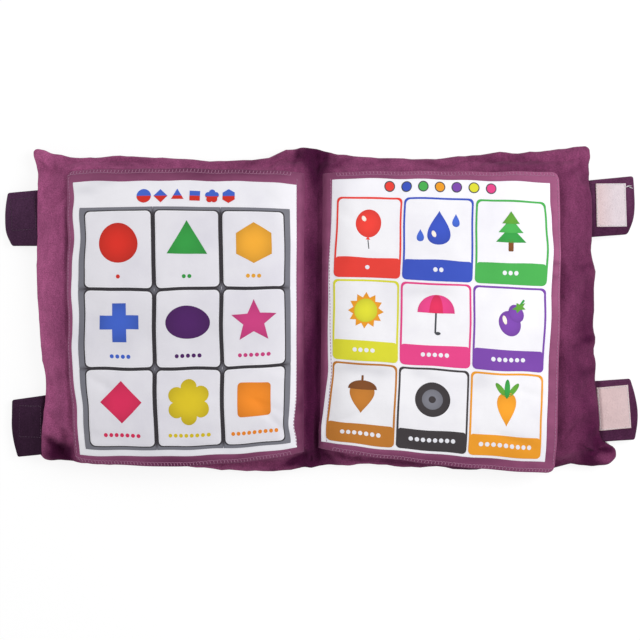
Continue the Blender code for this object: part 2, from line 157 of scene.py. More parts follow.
# Folds of the plush: start and end in millimetres, with the fold's depth and half width
PLUSH_FOLDS = (
    (-283, -122, -251, -150, 7.0, 3.6), (-272, -150, -256, -120, 3.0, 4.0),
    (-288, 146, -252, 140, 2.6, 5.0), (-264, 160, -238, 148, 2.4, 4.0),
    (-232, 158, -196, 148, 2.6, 5.0), (-196, 158, -150, 148, 2.2, 5.0),
    (-280, 120, -258, 146, 2.0, 5.0), (-78, 148, -56, 162, 4.0, 3.0),
    (-60, 148, -38, 164, 3.5, 4.0), (-30, 146, -24, 168, 3.6, 3.0), (-4, 146, 4, 166, 3.6, 3.0),
    (10, 146, 30, 160, 3.0, 3.0), (34, 148, 70, 156, 2.6, 3.0), (90, 156, 130, 146, 2.6, 3.0),
    (150, 158, 186, 148, 2.0, 4.0), (196, 160, 222, 148, 1.6, 4.0),
    (-52, -160, -26, -146, 4.0, 3.5), (-30, -152, -14, -142, 4.0, 3.0),
    (-12, -160, -11, -136, 4.0, 2.6), (2, -142, 14, -154, 3.6, 3.0), (14, -142, 46, -150, 3.4, 3.0),
    (50, -148, 100, -154, 3.0, 3.0), (262, 150, 242, 138, 2.0, 5.0),
    (293, -138, 268, -140, 4.4, 3.0), (284, -128, 262, -146, 2.4, 4.0),
    (277, -24, 250, -32, 2.4, 3.0), (276, 50, 256, 44, 1.6, 4.0), (278, -56, 258, -62, 1.6, 4.0),
    (-288, 40, -262, 28, 1.0, 6.0), (-282, -72, -256, -62, 2.0, 5.0),
    (-284, -96, -256, -104, 1.6, 5.0),
)
# Corners of the leaves and of their printed cloths in millimetres: top inner, top outer, bottom
# outer and bottom inner, where inner is the side at the spine. A bow lifts the middle of the top
# and of the bottom edge.
LEAF_CORNERS = {
    "left": ((-18.1, 140.1), (-254.4, 142.5), (-246.5, -147.4), (-19.1, -138.9)),
    "right": ((0.4, 140.1), (235.6, 140.4), (232.4, -160.5), (-3.0, -135.4)),
}
LEAF_BOW = {"left": (2.2, -9.0), "right": (0.6, -3.0)}
PRINT_CORNERS = {
    "left": ((-25.7, 128.0), (-247.6, 129.9), (-241.6, -140.5), (-25.5, -133.7)),
    "right": ((9.1, 133.0), (225.3, 129.1), (222.2, -148.8), (-1.2, -128.2)),
}
PRINT_BOW = {"left": (2.6, -4.8), "right": (1.2, -1.0)}
# Flat sizes of the printed cloths in millimetres
PRINT_FLAT = {"left": (219.0, 267.0), "right": (220.0, 270.0)}
# How far the inner and the outer edge of each print stray from a straight line: height and shift in
# millimetres, read upwards
PRINT_STRAYS = {
    "left": (
        ((-135, 0), (-124, -0.9), (-111, -3.2), (-99, -1.8), (-88, -0.5), (-76, 0), (-64, 0), (-40, 0),
         (0, 0), (125, 0)),
        ((-135, 0.7), (-111, -0.7), (-90, -0.4), (-72, -2.2), (-52, -3.4), (-32, -4.2), (-17, -3.0),
         (-5, -2.7), (19, -3.8), (38, -2.3), (54, -1.3), (72, 0.9), (100, -0.1), (113, 1.2),
         (128, -0.3)),
    ),
    "right": (
        ((-130, 0), (-111, -0.6), (-99, 0.5), (-76, 2.4), (-58, 3.9), (-40, 3.0), (-17, 1.9), (10, 1.4),
         (35, 0.6), (60, 0.3), (85, 1.1), (113, 0.8), (128, 0.4)),
        ((-140, 0), (-111, -0.5), (-88, 0.2), (-40, 0.1), (-22, 0.7), (-5, 1.7), (20, 2.0), (45, 2.6),
         (66, 3.3), (80, 2.4), (95, 2.0), (110, 0.4), (126, 0.3)),
    ),
}
# Flat sizes of the leaves, and how far out the sewn pages reach from the spine, in metres
LEAF_FLAT = {"left": (0.234, 0.290), "right": (0.237, 0.290)}
COVER_PAGE_OUT = {"left": 0.241, "right": 0.2375}
# Wrinkles of the leaves: start and end in millimetres, with the fold's depth and half width
LEAF_FOLDS = (
    (-246, 108, -196, 128, 1.4, 5.0), (-244, 84, -222, 96, 0.9, 4.0),
    (-30, -126, -62, -92, 1.1, 4.0), (-26, -104, -72, -84, 0.9, 4.0),
    (-28, -60, -60, -52, 0.7, 4.0), (-236, -60, -204, -78, 0.9, 5.0),
    (-238, -118, -200, -126, 0.9, 5.0), (-60, 122, -30, 92, 0.7, 5.0),
    (-150, 132, -110, 118, 0.8, 6.0), (-140, -130, -96, -136, 0.8, 4.0),
    (4, -112, 44, -96, 0.9, 4.0), (6, -60, 30, -52, 0.7, 4.0), (214, -136, 168, -118, 1.0, 5.0),
    (224, -84, 192, -76, 0.8, 4.0), (12, 104, 44, 84, 0.6, 5.0), (206, 120, 228, 88, 0.8, 5.0),
    (228, 20, 206, 8, 0.7, 4.0), (120, -142, 80, -128, 0.8, 5.0),
)
# Plans of the straps in millimetres from their hinges: how far they reach along the seam at the
# root and at the tip, from the lower to the upper end, and how far out their tips are there
STRAP_PLANS = {
    "right_upper": {"root": (-29.5, 28.0), "tip": (-26.8, 32.6), "out": (39.4, 45.8, 48.0, 47.9, 46.9)},
    "right_lower": {"root": (-32.7, 29.1), "tip": (-34.0, 28.4), "out": (34.8, 39.0, 40.2, 38.5, 34.9)},
    "left_upper": {"root": (-27.5, 29.8), "tip": (-25.4, 28.9), "out": (31.0, 36.6, 37.3, 36.1, 33.0)},
    "left_lower": {"root": (-29.2, 30.6), "tip": (-33.6, 24.3), "out": (27.9, 32.2, 34.2, 34.4, 34.3)},
}
# How light a patch is at its inner side, and how much lighter it is at its outer side
PATCH_LEANS = {
    "right_upper": (0.25, 1.2), "right_lower": (0.15, 0.1), "left_upper": (0.25, 1.2),
    "left_lower": (0.25, 1.2),
}
# How much higher than a hook patch the box of stitches over it begins, in metres
HOOK_BOX_FOOT = 0.010
# Middle of each patch along the seam, in millimetres, and how far out the patch begins and ends
PATCH_PLANS = {
    "right_upper": (3.0, 6.3, 38.3),
    "right_lower": (0.4, -1.8, 31.5),
    "left_upper": (1.0, 2.6, 31.0),
    "left_lower": (-2.0, 1.6, 27.0),
}

# Screen colours of the prints
INK = {
    "grey": (0.48, 0.48, 0.515),
    "line": (0.25, 0.26, 0.28),
    "bar": (0.20, 0.185, 0.205),
    "card": (0.928, 0.920, 0.945),
    "card_light": (0.955, 0.95, 0.965),
    "white": (0.93, 0.93, 0.955),
    "red": (0.84, 0.18, 0.13),
    "green": (0.20, 0.60, 0.26),
    "amber": (0.93, 0.66, 0.20),
    "blue": (0.26, 0.40, 0.80),
    "violet": (0.30, 0.11, 0.38),
    "pink": (0.80, 0.25, 0.50),
    "crimson": (0.87, 0.18, 0.36),
    "yellow": (0.87, 0.77, 0.14),
    "orange": (0.94, 0.54, 0.14),
    "card_red": (0.92, 0.25, 0.21),
    "card_blue": (0.22, 0.32, 0.74),
    "card_green": (0.28, 0.68, 0.31),
    "card_yellow": (0.87, 0.86, 0.20),
    "card_pink": (0.90, 0.26, 0.53),
    "card_violet": (0.48, 0.27, 0.66),
    "card_brown": (0.76, 0.48, 0.18),
    "card_black": (0.23, 0.21, 0.22),
    "card_orange": (0.94, 0.62, 0.15),
    "brown": (0.48, 0.28, 0.13),
    "leaf": (0.36, 0.62, 0.20),
    "pale": (0.98, 0.93, 0.88),
}


def length(name, default, description):
    """A length that a user can change."""
    return FloatProperty(
        name=name, description=description, default=default, precision=5, subtype="DISTANCE",
        unit="LENGTH",
    )


def share(name, default, description):
    """A share from 0 to 1 that a user can change."""
    return FloatProperty(
        name=name, description=description, default=default, min=0, max=1, subtype="FACTOR"
    )


def colour(name, default, description):
    """A screen colour that a user can change."""
    return FloatVectorProperty(
        name=name, description=description, default=default, size=3, min=0, max=1, subtype="COLOR_GAMMA"
    )


class ClothBookCushion(bpy.types.PropertyGroup):
    """Sizes of the stuffed covers."""

    crown: length("Crown", 0.044, "Height of the covers' inner face above the table")
    seam_height: length("Seam height", 0.012, "Height of the seam round the covers")
    underside_round: length("Underside round", 0.030, "How far the rounding under the seam runs in")
    valley_depth: length("Valley depth", 0.016, "How far the spine dips between the covers")
    valley_width: length("Valley width", 0.026, "Half width of the dip at the spine")
    fold_band: length("Fold band", 0.009, "Half width of the strip that bends when the book closes")
    ridge: length("Spine ridges", 0.0034, "Height of the ridges of plush in the gutter")
    pucker: length("Puckers", 0.0011, "Height of the short waves along the seams")
    pucker_run: length("Pucker run", 0.011, "How far the waves run in from the seams")
    billow: length("Billow", 0.0010, "Height of the broad uneven swellings")
    waver: length("Waver", 0.0006, "How far the seams stray from their line")
    gutter: length("Gutter", 0.0044, "How much deeper the slot in the middle of the spine is")
    pressure: FloatProperty(name="Pressure", description="Push of the filling", default=4.0)
    growth: share("Spare plush", 0.05, "How much longer the plush is than the shape it covers")
    travel: length("Travel", 0.006, "The furthest that the simulation may move the plush")
    page_sink: length("Page sink", 0.0010, "How far the sewn pages press into the covers")
    filling_inset: length("Filling inset", 0.004, "Space between the plush and the filling")


class ClothBookLeaf(bpy.types.PropertyGroup):
    """Sizes of the free leaves and of the pages sewn to the covers."""

    bed: length("Bed", 0.0464, "Height of a leaf's lowest face where it lies on the crown")
    cloth: length("Cloth", 0.0008, "Thickness of the plum cloth")
    printed: length("Printed cloth", 0.0004, "Thickness of the printed cloth")
    film: length("Film", 0.0002, "Thickness of the crinkling film")
    half_tall: length("Half height", 0.1501, "Distance from the middle at which the droop is full")
    gutter_dip: length("Gutter dip", 0.013, "How far the leaves sink towards the gutter")
    gutter_width: length("Gutter width", 0.022, "Half width of that dip")
    end_droop: length("End droop", 0.0085, "How far the top and bottom edges hang down")
    edge_sag: length("Edge sag", 0.0030, "How much further the outermost edges hang")
    side_droop: length("Side droop", 0.0040, "How far the outer edge hangs down")
    out: length("Reach", 0.2425, "Distance of the outer edge from the spine")
    corner: length("Corner", 0.009, "Radius of the outer corners")
    border_puff: length("Border puff", 0.0008, "How far the plum border swells over the print")
    wrinkle: length("Wrinkles", 0.0013, "Depth of the wrinkles of the crinkling leaves")
    wrinkle_size: length("Wrinkle size", 0.050, "Usual length of a wrinkle")
    pull: length("Pull", 0.0006, "How far the wrinkles pull the prints out of true")
    ink_step: length("Ink layer", 0.00014, "Thickness of one layer of print")
    root: length("Root", 0.0015, "How much of a leaf's inner edge stays in the gutter when it turns")
    turn_end: length("Turn end", 0.0175, "How far in from its inner edge a turning leaf bends")
    page_in: length("Sewn page start", 0.032, "Distance of the sewn pages from the spine")
    page_tall: share("Sewn page height", 0.88, "Share of the cover's height that a sewn page takes")
    print_tall: share("Sewn print height", 0.80, "Share of the cover's height that its print takes")


class ClothBookStrap(bpy.types.PropertyGroup):
    """Sizes of the closure straps and their patches."""

    cloth: length("Strap", 0.0034, "Thickness of a strap")
    root: length("Root", 0.006, "How far a strap reaches into the seam")
    dive: length("Dive", 0.0035, "How far the root sinks under the seam")
    corner: length("Corner", 0.0022, "Radius of the tips' corners")
    fall: length("Fall", 0.0088, "How far a strap's tip hangs below its root")
    patch: length("Patch", 0.0014, "Thickness of a patch")
    patch_tall: length("Patch height", 0.044, "Length of a patch along the seam")
    flex: length("Flex", 0.009, "Length of the strap that bends when it is folded")


class ClothBookStitch(bpy.types.PropertyGroup):
    """Sizes of the thread and its stitches."""

    thread: length("Thread", 0.00040, "Radius of the thread")
    overlock_pitch: length("Overlock pitch", 0.0034, "Distance between the stitches along an end")
    overlock_long: length("Overlock length", 0.0032, "Length of the stitches across an end")
    straight_pitch: length("Straight pitch", 0.0034, "Distance between straight stitches")
    straight_inset: length("Straight inset", 0.0022, "Distance of the straight seam from the edge")


class ClothBookColours(bpy.types.PropertyGroup):
    """Screen colours of the cloths."""

    # Each light and deep pair is mixed by painted light and shade kept on the pieces, and by random
    # patches
    plush_light: colour("Plush light", (0.730, 0.390, 0.572), "Plush where the pile leans to the light")
    plush_deep: colour("Plush deep", (0.268, 0.074, 0.206), "Plush where the pile leans away")
    strap_light: colour("Strap light", (0.470, 0.275, 0.410), "Light side of the straps")
    strap_deep: colour("Strap deep", (0.270, 0.130, 0.235), "Dark side of the straps")
    dark_light: colour("Dark strap light", (0.320, 0.200, 0.310), "Light side of the dark straps")
    dark_deep: colour("Dark strap deep", (0.120, 0.055, 0.112), "Dark side of the dark straps")
    border_light: colour("Border light", (0.690, 0.384, 0.548), "Lit threads of the plum cloth")
    border_deep: colour("Border deep", (0.364, 0.132, 0.274), "Deep threads of the plum cloth")
    print_white: colour("Print white", (0.965, 0.960, 0.980), "Bare white of the printed cloth")
    thread: colour("Thread", (0.735, 0.490, 0.635), "Thread of the seams")
    loop: colour("Loop patch", (0.855, 0.805, 0.825), "Soft half of a closure")
    loop_blush: colour("Loop blush", (0.825, 0.710, 0.705), "Tint at the inner side of the soft half")
    hook: colour("Hook patch", (0.210, 0.120, 0.210), "Stiff half of a closure")
    fibre: colour("Fibre", (0.92, 0.92, 0.90), "Filling of the covers")


class ClothBookStage(bpy.types.PropertyGroup):
    """Camera and lights."""

    camera_x: length("Camera x", -0.0026, "Place of the camera across the book")
    camera_y: length("Camera y", -0.00675, "Place of the camera up the book")
    camera_height: length("Camera height", 1.275, "Height of the camera over the table")
    lens: FloatProperty(name="Lens", description="Focal length in millimetres", default=70.0)
    key_power: FloatProperty(name="Key", description="Power of the lamp at the left", default=2.6)
    fill_power: FloatProperty(name="Fill", description="Power of the lamp at the right", default=6.5)
    sky: FloatProperty(name="Sky", description="Strength of the light from all round", default=0.52)
    floor_half: length("Floor", 3.0, "Half width of the floor")


class ClothBookSettings(bpy.types.PropertyGroup):
    """All that a user would change on the cloth book."""

    cushion: PointerProperty(type=ClothBookCushion)
    leaf: PointerProperty(type=ClothBookLeaf)
    strap: PointerProperty(type=ClothBookStrap)
    stitch: PointerProperty(type=ClothBookStitch)
    colours: PointerProperty(type=ClothBookColours)
    stage: PointerProperty(type=ClothBookStage)
    seed: IntProperty(name="Seed", description="Choice of the uneven waves", default=7, min=0)


def settings():
    """The book's own settings."""
    return bpy.context.scene.cloth_book


def cubic(x, y, at):
    """Smooth values through known ones: cubic pieces that share their slopes. The known places are a
    row, and each has a value or a row of values."""
    slope = np.gradient(y, x, axis=0)
    piece = np.clip(np.searchsorted(x, at) - 1, 0, len(x) - 2)
    place, step = x[piece], x[piece + 1] - x[piece]
    if y.ndim > 1:
        at, place, step = (part[:, None, None] for part in (at, place, step))
    t = np.clip((at - place) / step, 0, 1)
    rise = (1 + 2 * t) * (1 - t) ** 2 * y[piece] + t * t * (3 - 2 * t) * y[piece + 1]
    lean = t * (1 - t) ** 2 * slope[piece] + t * t * (t - 1) * slope[piece + 1]
    return rise + step * lean


def curve_through(points, at):
    """Height of a smooth line through given points."""
    x, y = np.asarray(points, float).T
    return cubic(x, y, at)


def between_edges(u, v, left, right, bottom, top):
    """A patch between four edges: the mean way across plus the mean way up, less its corners' mean."""
    u, v = np.broadcast_arrays(u, v)
    corners = [edge(np.array(end, float)) for edge in (bottom, top) for end in (0.0, 1.0)]
    u, v = u[..., None], v[..., None]
    across = (1 - u) * left(v[..., 0]) + u * right(v[..., 0])
    up = (1 - v) * bottom(u[..., 0]) + v * top(u[..., 0])
    flat = (1 - v) * ((1 - u) * corners[0] + u * corners[1])
    flat = flat + v * ((1 - u) * corners[2] + u * corners[3])
    return across + up - flat


def seam(points, upright=False):
    """A seam as a function of the share of its run, which is across or, for a side seam, up."""
    def at(part):
        run = points[0][0] + part * (points[-1][0] - points[0][0])
        stray = curve_through(points, run)
        return np.stack((stray, run) if upright else (run, stray), axis=-1) * MM

    return at


def ripple(x, y, size, seed):
    """Smooth uneven waves from about -1 to 1: seven sines of about one length in seven directions."""
    draw = np.random.default_rng(seed)
    total = np.zeros(np.broadcast(x, y).shape)
    for turn in np.linspace(0, math.pi, 8)[:-1]:
        angle = turn + draw.uniform(-0.2, 0.2)
        wave = 2 * math.pi / (size * draw.uniform(0.7, 1.5))
        total += np.sin((x * math.cos(angle) + y * math.sin(angle)) * wave + draw.uniform(0, 6.3))
    return total / 3.4


def ramp(value):
    """A smooth step from 0 to 1."""
    value = np.clip(value, 0, 1)
    return value * value * (3 - 2 * value)


def clear_of_spine(x):
    """None within 10 mm of the spine's middle, and all from 30 mm on."""
    return ramp((np.abs(x - SPINE_X) - 0.010) / 0.020)


def with_height(xy, z):
    """Places seen from above with their heights."""
    return np.concatenate((xy, z[..., None]), axis=-1)


def crease(x, y, folds):
    """Depth of the listed folds: each is a groove along a line, deepest at its middle."""
    total = np.zeros(np.broadcast(x, y).shape)
    for x0, y0, x1, y1, depth, width in folds:
        run = np.array((x1 - x0, y1 - y0)) * MM
        long = np.hypot(*run)
        along = ((x - x0 * MM) * run[0] + (y - y0 * MM) * run[1]) / long**2
        off = ((x - x0 * MM) * run[1] - (y - y0 * MM) * run[0]) / long
        groove = np.exp(-((off / (width * MM)) ** 2))
        total += depth * MM * groove * ramp(1.5 - 2 * np.abs(along - 0.5))
    return total


def cells(index, wrap=False):
    """The four corners of each cell of a grid of vertex numbers."""
    if wrap:
        index = np.concatenate((index, index[:, :1]), axis=1)
    corners = (index[:-1, :-1], index[1:, :-1], index[1:, 1:], index[:-1, 1:])
    return np.stack(corners, axis=-1).reshape(-1, 4)


def volume(points, quads):
    """Volume inside four-cornered faces: the sum of their cones from the middle of the scene."""
    a, b, c, d = (points[quads[:, k]] for k in range(4))
    return np.einsum("ij,ij->", a, np.cross(b, c) + np.cross(c, d)) / 6


def make_piece(name, points, quads, triangles=None, sharp=0.9):
    """A mesh object from arrays of points, four-cornered faces and three-cornered faces."""
    triangles = np.empty((0, 3), int) if triangles is None else triangles
    mesh = bpy.data.meshes.new(name)
    mesh.vertices.add(len(points))
    mesh.vertices.foreach_set("co", np.asarray(points, np.float32).ravel())
    corners = np.concatenate((quads.ravel(), triangles.ravel()))
    starts = np.concatenate((4 * np.arange(len(quads)), 4 * len(quads) + 3 * np.arange(len(triangles))))
    mesh.loops.add(len(corners))
    mesh.loops.foreach_set("vertex_index", corners.astype(np.int32))
    mesh.polygons.add(len(starts))
    mesh.polygons.foreach_set("loop_start", starts.astype(np.int32))
    mesh.update(calc_edges=True)
    mesh.shade_smooth()
    mesh.set_sharp_from_angle(angle=sharp)
    piece = bpy.data.objects.new(name, mesh)
    bpy.context.scene.collection.objects.link(piece)
    return piece


def skins(upper, lower):
    """Points and faces of a closed body between two grids, which meet on the rim of the upper one."""
    columns, rows = upper.shape[:2]
    top = np.arange(columns * rows).reshape(columns, rows)
    inner = np.zeros((columns, rows), bool)
    inner[1:-1, 1:-1] = True
    under = top.copy()
    under[inner] = columns * rows + np.arange(inner.sum())
    points = np.concatenate((upper.reshape(-1, 3), lower[inner]))
    quads = np.concatenate((cells(top), cells(under)[:, ::-1]))
    return points, quads if volume(points, quads) > 0 else quads[:, ::-1]


def rimmed(points, direction, thickness):
    """The two skins of a cloth: the grid moved half its thickness both ways, but not on its rim."""
    half = np.full(points.shape[:2], thickness / 2)
    for rim in RIMS:
        half[rim] = 0
    offset = direction * half[..., None]
    return points + offset, points - offset


def spread(total, step, rim, lines=()):
    """Places from 0 to the total: even steps with extra lines near both ends, as shares of it."""
    near = np.array((0.0, rim, *lines))
    middle = np.linspace(near[-1], total - near[-1], max(2, round((total - 2 * near[-1]) / step)) + 1)
    return np.concatenate((near[:-1], middle, (total - near[:-1])[::-1])) / total


def joined(parts):
    """Points, quads and triangles of several bodies as one."""
    points, quads, triangles, first = [], [], [], 0
    for part in parts:
        points.append(part[0])
        quads.append(part[1] + first)
        triangles.append((part[2] if len(part) > 2 else np.empty((0, 3), int)) + first)
        first += len(part[0])
    return np.concatenate(points), np.concatenate(quads), np.concatenate(triangles)


def tubes(paths, radii, sides=6):
    """Closed tubes along many paths at once: rings square to each path, with radii along it."""
    paths = np.asarray(paths, float)
    count, rings = paths.shape[:2]
    ahead = np.gradient(paths, axis=1)
    ahead /= np.linalg.norm(ahead, axis=-1, keepdims=True)
    side = np.cross(ahead, UP)
    short = np.linalg.norm(side, axis=-1, keepdims=True) < 1e-6
    side = np.where(short, np.array((1.0, 0.0, 0.0)), side)
    side /= np.linalg.norm(side, axis=-1, keepdims=True)
    over = np.cross(side, ahead)
    angle = np.arange(sides) * 2 * math.pi / sides
    reach = np.broadcast_to(radii, (count, rings))[..., None, None]
    ring = side[:, :, None] * np.cos(angle)[:, None] + over[:, :, None] * np.sin(angle)[:, None]
    skin = paths[:, :, None] + ring * reach
    ends = paths[:, [0, -1]]
    each = rings * sides + 2
    points = np.concatenate((skin.reshape(count, -1, 3), ends), axis=1).reshape(-1, 3)
    index = np.arange(rings * sides).reshape(rings, sides)
    quads = cells(index, wrap=True)[:, ::-1]
    turn = np.roll(np.arange(sides), -1)
    first, last = rings * sides, rings * sides + 1
    start = np.stack((np.full(sides, first), index[0], index[0][turn]), axis=-1)
    finish = np.stack((np.full(sides, last), index[-1][turn], index[-1]), axis=-1)
    triangles = np.concatenate((start, finish))
    shift = (np.arange(count) * each)[:, None, None]
    return points, (quads + shift).reshape(-1, 4), (triangles + shift).reshape(-1, 3)


def cushion_outline(u, v):
    """Place seen from above of the shares across and up the book, from seam to seam. The corners are
    rounded, and the seams waver a little."""
    u, v = np.broadcast_arrays(u, v)
    wide, tall = TOP_SEAM[-1][0] - TOP_SEAM[0][0], LEFT_SEAM[-1][0] - LEFT_SEAM[0][0]
    half = np.minimum(u, 1 - u)
    a, b = rounded_shares(1 - half, v, wide, tall, CUSHION_CORNER)
    u = np.where(u < 0.5, 1 - a, a)
    sides = seam(LEFT_SEAM, upright=True), seam(RIGHT_SEAM, upright=True)
    plan = between_edges(u, b, *sides, seam(BOTTOM_SEAM), seam(TOP_SEAM))
    x, y = plan[..., 0], plan[..., 1]
    seed = settings().seed
    waver = np.stack((ripple(x, y, 0.016, seed + 30), ripple(x, y, 0.016, seed + 31)), axis=-1)
    near = np.exp(-np.minimum(half * wide, np.minimum(b, 1 - b) * tall) / 12)
    return plan + settings().cushion.waver * waver * near[..., None]


def cushion_lines():
    """Shares across and up of the cushion's grid: even in a band at the spine, from there and from
    the middle closer and closer towards the seams, as the sine of an even turn."""
    left, right = TOP_SEAM[0][0], TOP_SEAM[-1][0]
    spine, band, step, across, up = SPINE_X / MM, 30, 2.0, 47, 46
    ease = np.sin(np.linspace(0, 0.5, across)[1:] * math.pi)
    to_left = spine - band + ease * (left - spine + band)
    to_right = spine + band + ease * (right - spine - band)
    x = np.concatenate((to_left[::-1], spine + np.arange(-band, band + 1, step), to_right))
    half = np.sin(np.linspace(0, 0.5, up) * math.pi)
    v = np.concatenate((-half[:0:-1], half))
    return (x - left) / (right - left), (1 + v) / 2


def cushion_heights(v, x, y):
    """Heights of the two faces. The upper one falls from the crown to the seams with a sixth power
    across and a fifth power up, and to the spine's valley; the lower one is flat and rounds up."""
    size = settings().cushion
    left, right = (seam(points, upright=True)(v)[..., 0] for points in (LEFT_SEAM, RIGHT_SEAM))
    offset = x - SPINE_X
    reach = np.where(offset < 0, SPINE_X - left, right - SPINE_X)
    across = np.clip(np.abs(offset) / reach, 0, 1)
    up = np.abs(2 * v - 1)
    swell = np.sqrt(np.clip(1 - across**6, 0, 1)) * np.sqrt(np.clip(1 - up**5, 0, 1))
    valley = size.valley_depth * np.exp(-((offset / size.valley_width) ** 2))
    upper = size.seam_height + (size.crown - size.seam_height - valley) * swell
    tall = np.abs(y) / np.maximum(up, 0.05)
    from_side = np.clip(1 - (reach - np.abs(offset)) / size.underside_round, 0, 1)
    from_end = np.clip(1 - tall * (1 - up) / size.underside_round, 0, 1)
    around = np.clip(from_side**2 + from_end**2, 0, 1)
    corner = np.maximum(from_side, from_end) ** 2
    around = np.where((from_side >= 1) | (from_end >= 1), 1, (around + corner) / 2)
    lower = size.seam_height * (1 - np.sqrt(np.clip(1 - around, 0, 1)))
    return upper, lower


def sewn_page_height(x, y):
    """Height of the cover under its sewn page: the plain crown formula of the solid cover."""
    size, leaf = settings().cushion, settings().leaf
    offset = np.abs(x - SPINE_X)
    across = np.clip(offset / (leaf.out + 0.040), 0, 1)
    up = np.clip(np.abs(y - MIDDLE_Y) / leaf.half_tall, 0, 1)
    rim = size.seam_height + 0.00175
    valley = size.valley_depth * np.exp(-((offset / size.valley_width) ** 2))
    swell = np.sqrt(1 - across**6) * np.sqrt(1 - up**5)
    return rim + (size.crown - rim - valley) * swell - size.page_sink


def leaf_rest(x, y):
    """Height of a leaf's lowest face: flat on the crown, low at the gutter and at the edges, with
    wrinkles that only go down."""
    leaf = settings().leaf
    offset = np.abs(x - SPINE_X)
    gutter = leaf.gutter_dip * np.exp(-((offset / leaf.gutter_width) ** 2))
    up = np.abs(y - MIDDLE_Y) / leaf.half_tall
    ends = leaf.end_droop * np.minimum(up, 1) ** 4 + leaf.edge_sag * up**7
    far = leaf.side_droop * (offset / leaf.out) ** 6
    seed = settings().seed
    waves = 0.5 + 0.5 * ripple(x, y, leaf.wrinkle_size, seed)
    small = 0.5 + 0.5 * ripple(x, y, leaf.wrinkle_size * 0.45, seed + 1)
    wrinkle = leaf.wrinkle * (0.7 * waves + 0.3 * small) * clear_of_spine(x) + crease(x, y, LEAF_FOLDS)
    return leaf.bed - gutter - ends - far - wrinkle


def plush_ceiling(x, y):
    """The height that the plush stays under: the sewn pages, and the leaves a little above them."""
    leaf = settings().leaf
    offset = np.abs(x - SPINE_X)
    out = np.where(x < SPINE_X, COVER_PAGE_OUT["left"], COVER_PAGE_OUT["right"])
    past_side = np.maximum(leaf.page_in - offset, offset - out)
    past_end = np.abs(y - MIDDLE_Y) - leaf.page_tall * leaf.half_tall
    past = np.maximum(np.maximum(past_side, past_end), 0)
    past_leaf = np.maximum(np.maximum(offset - out - 0.003, np.abs(y) - 0.142), 0)
    # Space under each, how much higher the plush may stand beside it, and how soon it does
    page_space, page_rise, page_run = 0.0002, 0.008, 0.014
    leaf_space, leaf_rise, leaf_run = 0.0012, 0.02, 0.012
    page = sewn_page_height(x, y) - page_space + page_rise * ramp(past / page_run)
    return np.minimum(page, leaf_rest(x, y) - leaf_space + leaf_rise * ramp(past_leaf / leaf_run))


def pucker_height(u, v, x, y):
    """Short waves square to the seams: sines along the seam whose height fades away from it."""
    size = settings().cushion
    seed = settings().seed
    left, right = TOP_SEAM[0][0] * MM, TOP_SEAM[-1][0] * MM
    from_end = (1 - np.abs(2 * v - 1)) * (TOP_SEAM[0][1] * MM)
    from_side = np.minimum(u, 1 - u) * (right - left)
    total = np.zeros_like(x)
    for along, away, start in ((x, from_end, 0), (y, from_side, 2)):
        uneven = ripple(along, np.sign(v - 0.5) * 0.3 + 0 * along, 0.060, seed + start)
        wave = np.sin(along * 2 * math.pi / PUCKER_LONG + 2.2 * uneven)
        small = np.sin(along * 2 * math.pi / PUCKER_SHORT + 3.1 * uneven)
        near = np.exp(-away / size.pucker_run) * ramp(away / 0.002)
        tight = np.exp(-away / (size.pucker_run * 0.5)) * ramp(away / 0.001)
        total += size.pucker * (wave * near * (0.6 + 0.4 * uneven) + 0.35 * small * tight)
    return total


def simulated_change(u_lines, v_lines):
    """What cloth under pressure does to the covers: the change of both faces on a coarse even grid,
    held at its seams, capped, and carried to the finer grid by cubic lines."""
    size = settings().cushion
    coarse_u, coarse_v = np.linspace(0, 1, 105), np.linspace(0, 1, 59)
    u, v = np.meshgrid(coarse_u, coarse_v, indexing="ij")
    x, y = np.moveaxis(cushion_outline(u, v), -1, 0)
    upper_z, lower_z = cushion_heights(v, x, y)
    for rim in RIMS:
        lower_z[rim] = upper_z[rim]
    upper, lower = np.stack((x, y, upper_z), axis=-1), np.stack((x, y, lower_z), axis=-1)
    points, quads = skins(upper, lower)
    trial = make_piece("plush_trial", points, quads)
    held = trial.vertex_groups.new(name="seam")
    edge = np.zeros(u.shape, bool)
    for rim in RIMS:
        edge[rim] = True
    held.add(np.flatnonzero(edge).tolist(), 1.0, "REPLACE")
    cloth = trial.modifiers.new("filling", "CLOTH")
    cloth.settings.use_pressure = True
    cloth.settings.uniform_pressure_force = size.pressure
    cloth.settings.effector_weights.gravity = 0
    cloth.settings.shrink_min = -size.growth
    cloth.settings.vertex_group_mass = "seam"
    cloth.settings.quality = 6
    cloth.settings.mass = 0.3
    cloth.settings.bending_stiffness = 0.3
    scene = bpy.context.scene
    for number in range(20):
        scene.frame_set(number + 1)
    shown = trial.evaluated_get(bpy.context.evaluated_depsgraph_get())
    moved = np.empty(len(points) * 3, np.float32)
    shown.data.vertices.foreach_get("co", moved)
    scene.frame_set(1)
    change = moved.reshape(-1, 3).astype(float) - points
    far = np.linalg.norm(change, axis=-1, keepdims=True)
    change *= size.travel * np.tanh(far / size.travel) / np.maximum(far, 1e-9)
    mesh = trial.data
    bpy.data.objects.remove(trial)
    bpy.data.meshes.remove(mesh)
    above = change[: u.size].reshape(*u.shape, 3)
    below = np.zeros_like(above)
    below[1:-1, 1:-1] = change[u.size:].reshape(u.shape[0] - 2, u.shape[1] - 2, 3)
    return [carried(face, coarse_u, coarse_v, u_lines, v_lines) for face in (above, below)]


def carried(values, from_u, from_v, to_u, to_v):
    """Values of one grid read on another: cubic lines first across, then up."""
    across = cubic(from_u, values, to_u)
    return np.swapaxes(cubic(from_v, np.swapaxes(across, 0, 1), to_v), 0, 1)


